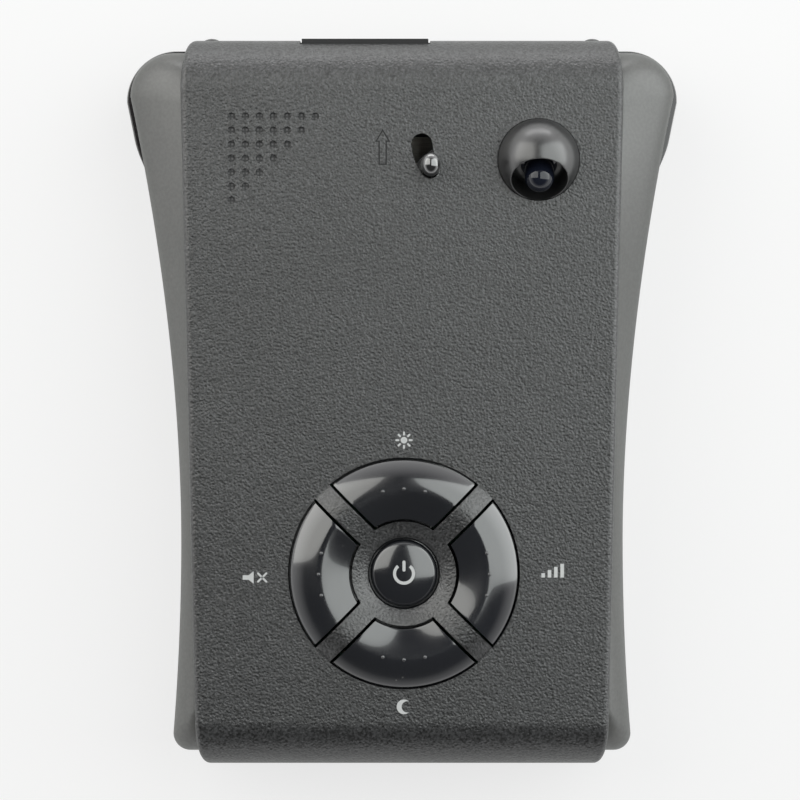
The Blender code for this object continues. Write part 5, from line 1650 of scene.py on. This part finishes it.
@dataclass
class ReleaseLever:
    """Lever under the cover whose knob stands in the curved slot."""

    soft_edge: float = 0.12 * MM

    def build(self, store: Bin) -> None:
        """Models the lever and dresses it."""
        low, high = LEVER.bottom, LEVER.bottom + LEVER.plate
        knob_at = LEVER.spot(LEVER.reach, LEVER.rest)
        tooth_at = LEVER.spot(LEVER.tooth_reach, LEVER.rest + LEVER.tooth_lead)
        hub = Bench.turned("lever", rod(LEVER.hub, low, high), 64, move(LEVER.x, LEVER.y, 0))
        arm = stadium((LEVER.x, LEVER.y), knob_at, LEVER.knob_radius + 0.9 * MM)
        Bench.add(hub, Bench.skin("knob_arm", [at(arm, low), at(arm, high - 0.01 * MM)]))
        arm = stadium((LEVER.x, LEVER.y), tooth_at, LEVER.knob_radius)
        Bench.add(hub, Bench.skin("tooth_arm", [at(arm, low + 0.01 * MM), at(arm, high - 0.02 * MM)]))
        tooth = rod(LEVER.knob_radius * LEVER.tooth_share, low - LEVER.tooth_depth, high - 0.5 * MM)
        Bench.add(hub, Bench.turned("tooth", tooth, 32, move(*tooth_at, 0)))
        Bench.add(hub, self.knob(low, knob_at))
        bore = rod(LEVER.post_radius + GAP, low - MM, high + MM)
        Bench.cut(hub, Bench.turned("bore", bore, 40, move(LEVER.x, LEVER.y, 0)))
        Bench.finish(hub, self.soft_edge, 2, 40.0)
        deliver(hub, Body.LEVER, KNOB, store, "release_lever")

    @staticmethod
    def knob(low: float, spot: Flat) -> bpy.types.Object:
        """The knob: a round neck under a head that is drawn out towards the front.

        Args:
            low: Underside of the lever's plate.
            spot: Where the knob stands.

        Returns:
            The knob.
        """
        knob = Bench.turned("knob", ReleaseLever.knob_profile(low), 56, Matrix.Identity(4))
        neck, crown = CASE.top + 0.4 * MM, CASE.top + 2.0 * MM
        for vert in knob.data.vertices:
            share = smooth_step((vert.co.z - neck) / (crown - neck))
            vert.co.y *= 1 + (LEVER.knob_stretch - 1) * share
            vert.co.y += LEVER.knob_shift * share
        return Bench.settle(knob, move(*spot, 0))

    @staticmethod
    def knob_profile(low: float) -> list[Flat]:
        """Profile of the knob: a neck that swells into a round head."""
        neck, head = LEVER.knob_radius, LEVER.knob_radius * 1.1
        crown = CASE.top + LEVER.knob_rise - head
        profile = [(0.0, low + 0.5 * MM), (neck, low + 0.5 * MM), (neck, CASE.top + MM)]
        for i in range(1, 6):
            profile.append((neck + (head - neck) * i / 6, CASE.top + MM + (crown - CASE.top - MM) * i / 6))
        for i in range(15):
            turn = math.pi / 2 * i / 14
            profile.append((head * math.cos(turn), crown + head * math.sin(turn)))
        return profile


@dataclass
class ButtonPad:
    """Four quadrant buttons and the centre button."""

    rise: float = 0.3 * MM
    edge: float = 0.35 * MM
    flange: float = 0.5 * MM
    flange_height: float = 1.2 * MM
    dot_radius: float = 0.28 * MM
    dot_angle: float = math.radians(14.3)
    centre_crown: float = 1.1 * MM
    centre_rise: float = 0.5 * MM
    stem_radius: float = 1.3 * MM
    stem_end: float = 22.2 * MM

    def build(self, store: Bin) -> None:
        """Models the five buttons and dresses them."""
        deliver(self.centre(), Body.CENTRE, KEY, store, "button_centre")
        bodies = {
            Quarter.RIGHT: Body.RIGHT,
            Quarter.FRONT: Body.FRONT,
            Quarter.LEFT: Body.LEFT,
            Quarter.REAR: Body.REAR,
        }
        for quarter, body in bodies.items():
            deliver(self.quadrant(quarter), body, KEY, store, body.value)

    def quadrant(self, quarter: Quarter) -> bpy.types.Object:
        """One quadrant with its three raised dots and its stem."""
        outer, inner = RING.radius - RING.clearance, RING.inner_radius
        seat = CASE.under - GAP
        foot = seat - self.flange_height
        profile = [(outer + self.flange, foot), (outer + self.flange, seat), (outer, seat)]
        for i in range(23):
            radius = outer + (inner - outer) * i / 22
            profile.append((radius, CASE.top + RING.height(radius) + self.rise))
        profile += [(inner, seat), (inner - self.flange, seat), (inner - self.flange, foot)]
        name = f"key_{quarter.name.lower()}"
        key = RING.quadrant(name, profile, RING.spoke / 2 + RING.clearance, 40)
        stem = rod(self.stem_radius, self.stem_end, CASE.top)
        Bench.add(key, Bench.turned("stem", stem, 24, move(RING.crest_radius, 0, 0)))
        Bench.finish(key, self.edge, 4, 46.0)
        dots = [self.dot(angle) for angle in (-self.dot_angle, 0.0, self.dot_angle)]
        key = Bench.join([key, *dots], name)
        return Bench.settle(key, RING.place(quarter))

    def dot(self, angle: float) -> bpy.types.Object:
        """A raised dot on the crest of a quadrant."""
        profile = [(0.0, -0.1 * MM), (self.dot_radius, -0.1 * MM)]
        for i in range(5):
            turn = math.pi / 2 * i / 4
            profile.append((self.dot_radius * math.cos(turn), self.dot_radius * 0.8 * math.sin(turn)))
        x, y = RING.crest_radius * math.cos(angle), RING.crest_radius * math.sin(angle)
        dot = Bench.turned("dot", profile, 16, move(x, y, CASE.top + RING.crest + self.rise))
        return Bench.finish(dot, 0.0)

    def centre(self) -> bpy.types.Object:
        """The round centre button, crowned like a lens."""
        seat = CASE.under - GAP
        foot, skirt = seat - self.flange_height, RING.centre_radius + RING.clearance + self.flange
        profile = [(0.0, self.stem_end), (self.stem_radius, self.stem_end), (self.stem_radius, foot)]
        profile += [(skirt, foot), (skirt, seat), (RING.centre_radius, seat)]
        edge = CASE.top + self.centre_rise - self.centre_crown
        for i in range(25):
            share = i / 24
            crown = math.sqrt(max(0.0, 1 - (1 - share) ** 2.6))
            profile.append((RING.centre_radius * (1 - share), edge + self.centre_crown * crown))
        button = Bench.turned("key_centre", profile, 96, RING.place())
        return Bench.finish(button, 0.1 * MM, 3, 46.0)


@dataclass
class PrintedMarks:
    """Pad-printed pictograms round the button pad and on the centre button."""

    film: float = 0.02 * MM
    sideways: float = 22.3 * MM
    endwise: float = 20.0 * MM
    line: float = 0.3 * MM
    bold: float = 0.46 * MM

    def build(self, store: Bin) -> None:
        """Models the five marks and dresses them."""
        spots = {
            "mark_silent": (self.silent(), -self.sideways, -0.6 * MM),
            "mark_range": (self.reach(), self.sideways, 0.4 * MM),
            "mark_bright": (self.sun(), 0.0, self.endwise),
            "mark_dim": (self.moon(), 0.0, -self.endwise),
        }
        for name, (outlines, x, y) in spots.items():
            mark = self.printed(name, outlines, CASE.top, move(RING.x + x, RING.y + y, 0))
            deliver(mark, Body.CASE, PRINT, store)
        crown = CASE.top + ButtonPad().centre_rise
        mark = self.printed("mark_power", self.power(), crown, move(RING.x, RING.y, 0))
        deliver(mark, Body.CENTRE, PRINT, store)

    def printed(
        self, name: str, outlines: Sequence[Sequence[Flat]], surface: float, place: Matrix
    ) -> bpy.types.Object:
        """Raises outlines to a film of ink.

        Args:
            name: The mark's name.
            outlines: Its closed outlines.
            surface: Height of the surface under the film.
            place: Where the mark goes.

        Returns:
            The mark in one mesh.
        """
        low, high = surface - 4 * self.film, surface + self.film
        films = [Bench.skin(name, [at(line, low), at(line, high)]) for line in outlines]
        mark = Bench.finish(Bench.join(films, name), 0.0)
        return Bench.settle(mark, place)

    @staticmethod
    def band(centre: Flat, radius: float, width: float, start: float, end: float) -> list[Flat]:
        """Outline of a stretch of a ring, with its angles in degrees."""
        first, last = math.radians(start), math.radians(end)
        outer = arc(centre, radius + width / 2, first, last, 36)
        return outer + arc(centre, radius - width / 2, last, first, 36)

    def silent(self) -> list[list[Flat]]:
        """A loudspeaker and a cross."""
        side = [(-1.0, 0.34), (-1.9, 0.34), (-1.9, -0.34), (-1.0, -0.34), (-0.25, -0.95), (-0.25, 0.95)]
        horn = [(x * MM, y * MM) for x, y in side]
        cross = []
        for lean in (-1, 1):
            start, end = (0.4 * MM, -0.62 * lean * MM), (1.64 * MM, 0.62 * lean * MM)
            cross.append(stadium(start, end, self.line / 2, 6))
        return [horn, *cross]

    @staticmethod
    def reach() -> list[list[Flat]]:
        """Four bars that grow to the right."""
        bars, wide, pitch, foot = [], 0.27 * MM, 0.95 * MM, -1.0 * MM
        for i in range(4):
            x, top = (i - 1.5) * pitch, foot + (0.65 + 0.47 * i) * MM
            bars.append([(x - wide, foot), (x + wide, foot), (x + wide, top), (x - wide, top)])
        return bars

    def sun(self) -> list[list[Flat]]:
        """A disc with eight rays."""
        rays = [arc((0.0, 0.0), 0.5 * MM, 0.0, TURN, 28)[:-1]]
        for i in range(8):
            turn = TURN * i / 8
            ray = [(reach * math.cos(turn), reach * math.sin(turn)) for reach in (0.84 * MM, 1.16 * MM)]
            rays.append(stadium(ray[0], ray[1], self.line / 2, 6))
        return rays

    @staticmethod
    def moon() -> list[list[Flat]]:
        """A crescent: one arc less another that meets its tips."""
        radius, lead, shift = 1.1 * MM, math.radians(48), 0.5 * MM
        tip_x, tip_y = radius * math.cos(lead) - shift, radius * math.sin(lead)
        inner, opening = math.hypot(tip_x, tip_y), math.atan2(tip_y, tip_x)
        outer_edge = arc((0.0, 0.0), radius, lead, TURN - lead, 36)
        return [outer_edge + arc((shift, 0.0), inner, TURN - opening, opening, 30)[1:-1]]

    def power(self) -> list[list[Flat]]:
        """An open ring with a bar in its gap."""
        ring = self.band((0.0, 0.0), 1.42 * MM, self.bold, 128.0, 412.0)
        return [ring, stadium((0.0, 0.55 * MM), (0.0, 1.75 * MM), self.bold / 2, 10)]


@dataclass
class PowerInlet:
    """Direct-current inlet in the left side."""

    setback: float = 49.0 * MM
    height: float = 7.2 * MM
    bore: float = 2.85 * MM
    pin: float = 1.0 * MM
    length: float = 12.0 * MM
    width: float = 8.0 * MM

    @property
    def y(self) -> float:
        """Y of the inlet."""
        return CASE.front - self.setback

    def aim(self, x: float) -> Matrix:
        """Puts a shape turned about +Z on the housing's side, pointing inwards."""
        return move(x, self.y, self.height) @ Matrix.Rotation(math.pi / 2, 4, "Y")

    def build(self, store: Bin) -> None:
        """Models the inlet and dresses it."""
        x = CASE.side_inset(self.height) - CASE.rim_half(self.y)
        barrel = rod(self.bore + MM, 0.2 * MM, 4 * MM)
        inlet = Bench.turned("power_inlet", barrel, 64, self.aim(x))
        start, half = 3.3 * MM, self.width / 2
        low = (x + start, self.y - half, self.height - half)
        high = (x + start + self.length, self.y + half, self.height + half)
        Bench.add(inlet, Bench.block("inlet_body", low, high))
        depth, tip = self.length * 0.75, 1.5 * MM
        space = [(0.0, -MM), (self.bore, -MM), (self.bore, depth), (self.pin, depth)]
        space += [(self.pin, tip + 0.6 * MM), (self.pin * 0.6, tip), (0.0, tip)]
        Bench.cut(inlet, Bench.turned("inlet_bore", space, 64, self.aim(x)))
        Bench.finish(inlet, 0.12 * MM, 2, 40.0)
        deliver(inlet, Body.CASE, SOCKET, store, "power_jack")


@dataclass
class CaseScrews:
    """Four pan-headed screws in the bores of the underside."""

    length: float = 12.0 * MM
    head: float = 1.6 * MM

    def build(self, store: Bin) -> None:
        """Models one screw and copies it to all four places."""
        size = Housing()
        seat = size.screw_sink - GAP
        radius, shank = size.screw_head, size.screw_radius
        profile = [(0.0, seat - self.head), (radius * 0.55, seat - self.head)]
        for i in range(1, 8):
            turn = math.pi / 2 * i / 7
            x = radius * 0.55 + radius * 0.45 * math.sin(turn)
            profile.append((x, seat - self.head + 0.8 * MM * (1 - math.cos(turn))))
        profile += [(radius, seat), (shank, seat), (shank, seat + self.length - MM)]
        profile += [(0.3 * MM, seat + self.length), (0.0, seat + self.length)]
        places = size.screw_places()
        screw = Bench.turned("screw", profile, 40, move(*places[0], 0))
        for width, depth in ((0.3 * MM, radius * 0.62), (radius * 0.62, 0.3 * MM)):
            x, y = places[0]
            low = (x - width, y - depth, seat - self.head - 0.5 * MM)
            Bench.cut(screw, Bench.block("cross", low, (x + width, y + depth, seat - self.head + 0.8 * MM)))
        Bench.finish(screw, 0.06 * MM, 2, 40.0)
        for x, y in places[1:]:
            twin = Bench.copy(screw, move(x - places[0][0], y - places[0][1], 0))
            self._deliver(twin, x, y, store)
        self._deliver(screw, *places[0], store)

    @staticmethod
    def _deliver(screw: bpy.types.Object, x: float, y: float, store: Bin) -> None:
        """Names a screw by its corner and hands it over."""
        corner = f"{'front' if y > 0 else 'rear'}_{'right' if x > 0 else 'left'}"
        screw.name = screw.data.name = f"screw_{corner}"
        deliver(screw, Body.CASE, ZINC, store, f"case_screw_{corner}")


INSIDE: dict[str, Finish] = {
    "speaker": PAPER,
    "main_board": BOARD,
    "horn_antenna": HORN,
    "shield_can": TIN,
    "laser_receiver": SWITCH,
    "display_module": DISPLAY,
    "lever_clip": STEEL,
    "lever_spring": STEEL,
    "switch_centre": SWITCH,
    "switch_front": SWITCH,
    "switch_left": SWITCH,
    "switch_rear": SWITCH,
    "switch_right": SWITCH,
}


# ------------------------------------------------------------------ studio


@dataclass(frozen=True)
class Softbox:
    """A soft area lamp that looks at the object."""

    name: str
    place: Point
    target: Point
    size: Flat
    power: float
    tint: tuple[float, float, float] = (1.0, 1.0, 1.0)

    def light(self) -> None:
        """Adds the lamp."""
        data = bpy.data.lights.new(self.name, "AREA")
        data.color = self.tint
        data.shape, data.size, data.size_y, data.energy = "RECTANGLE", *self.size, self.power
        lamp = bpy.data.objects.new(self.name, data)
        bpy.context.scene.collection.objects.link(lamp)
        lamp.location = self.place
        aim = Vector(self.target) - Vector(self.place)
        lamp.rotation_euler = aim.to_track_quat("-Z", "Y").to_euler()


@dataclass
class Studio:
    """Pale floor, soft lamps, white surroundings and the camera."""

    camera_place: Point = (-0.0003, 0.000225, 0.4785)
    focal_length: float = 135.0
    floor_half: float = 1.5
    floor_glow: float = 0.7
    sensor_width: float = 36.0
    world_light: float = 0.3
    overhead: Point = (0.0, -0.2, 1.0)
    fade: Flat = (0.15, 0.65)
    gloss_levels: Flat = (1.0, 0.05)
    lamps: tuple[Softbox, ...] = field(
        default_factory=lambda: (
            Softbox(
                "box_left", (-0.336, 0.26, 0.394), (0.0, 0.26, 0.0), (0.53, 0.58), 1.42, (1.0, 1.0, 0.96)
            ),
            Softbox(
                "box_right", (0.355, 0.20, 0.392), (0.0, 0.20, 0.0), (0.585, 0.80), 2.4, (0.96, 1.0, 0.985)
            ),
            Softbox("box_front", (0.0, 0.85, 0.11), (0.0, 0.0, 0.03), (0.80, 0.18), 0.9),
        )
    )

    def build(self) -> None:
        """Sets the whole studio up."""
        self.floor()
        self.surroundings()
        for lamp in self.lamps:
            lamp.light()
        data = bpy.data.cameras.new("camera")
        data.lens, data.sensor_width = self.focal_length, self.sensor_width
        camera = bpy.data.objects.new("camera", data)
        camera.location = self.camera_place
        bpy.context.scene.collection.objects.link(camera)
        bpy.context.scene.camera = camera
        bpy.context.scene.view_settings.view_transform = "Standard"

    def floor(self) -> None:
        """A pale floor just under the object."""
        Bench.clear()
        bpy.ops.mesh.primitive_plane_add(size=2 * self.floor_half, location=(0, 0, 0))
        floor = bpy.context.active_object
        floor.name = "floor"
        made = bpy.data.materials.new("floor_white")
        made.use_nodes = True
        shader = made.node_tree.nodes["Principled BSDF"]
        shader.inputs["Base Color"].default_value = (0.93, 0.93, 0.93, 1.0)
        shader.inputs["Roughness"].default_value = 0.9
        shader.inputs["Specular IOR Level"].default_value = 0.1
        wire = Wiring(made.node_tree)
        glow = wire.node("Emission", Strength=1.0)
        seen = wire.math("MULTIPLY", wire.node("LightPath").outputs["Is Camera Ray"], self.floor_glow)
        mix = wire.node("MixShader", Fac=seen)
        for i, source in ((1, shader), (2, glow)):
            wire.tree.links.new(source.outputs[0], mix.inputs[i])
        wire.tree.links.new(mix.outputs[0], made.node_tree.nodes["Material Output"].inputs["Surface"])
        floor.data.materials.append(made)

    def surroundings(self) -> None:
        """White to the camera and plain light elsewhere; in gloss white low down and dark overhead."""
        world = bpy.data.worlds.new("studio")
        bpy.context.scene.world = world
        world.use_nodes = True
        tree = world.node_tree
        wire = Wiring(tree)
        light = tree.nodes["Background"]
        light.inputs["Color"].default_value = (1.0, 1.0, 1.0, 1.0)
        light.inputs["Strength"].default_value = self.world_light
        rays = wire.node("LightPath").outputs
        direct = wire.math("ADD", rays["Is Camera Ray"], rays["Is Glossy Ray"])
        seen = wire.math("ADD", direct, rays["Is Transmission Ray"])
        way = wire.node("VectorMath", Vector=wire.node("TexCoord").outputs["Generated"])
        way.operation = "DOT_PRODUCT"
        way.inputs[1].default_value = self.overhead
        ceiling = wire.tree.nodes.new("ShaderNodeMapRange")
        titles = ("From Min", "From Max", "To Min", "To Max")
        for name, value in zip(titles, (*self.fade, *self.gloss_levels)):
            ceiling.inputs[name].default_value = value
        wire.feed(ceiling, "Value", way.outputs["Value"])
        white = wire.node("Background", Strength=1.0)
        wire.feed(white, "Color", wire.math("ADD", ceiling.outputs[0], rays["Is Camera Ray"]))
        mix = wire.tree.nodes.new("ShaderNodeMixShader")
        wire.feed(mix, 0, seen)
        wire.tree.links.new(light.outputs[0], mix.inputs[1])
        wire.tree.links.new(white.outputs[0], mix.inputs[2])
        wire.tree.links.new(mix.outputs[0], tree.nodes["World Output"].inputs["Surface"])


def main() -> None:
    """Builds the studio and every sub-assembly, in order."""
    logging.basicConfig(level=logging.INFO, format="%(message)s")
    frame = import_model()
    Studio().build()
    store = Bin()
    parts = (
        TopCover(), Housing(), FrontWindow(), RearWindow(), BracketSocket(), LightSensor(),
        ReleaseLever(), ButtonPad(), PrintedMarks(), PowerInlet(), CaseScrews(),
    )
    for part in parts:
        LOG.info("building %s", type(part).__name__)
        part.build(store)
    for name, finish in INSIDE.items():
        store.carry(frame["nodes"][name], finish)
        LOG.info("%s keeps its mesh: %s", name, finish.name)


if __name__ == "__main__":
    main()
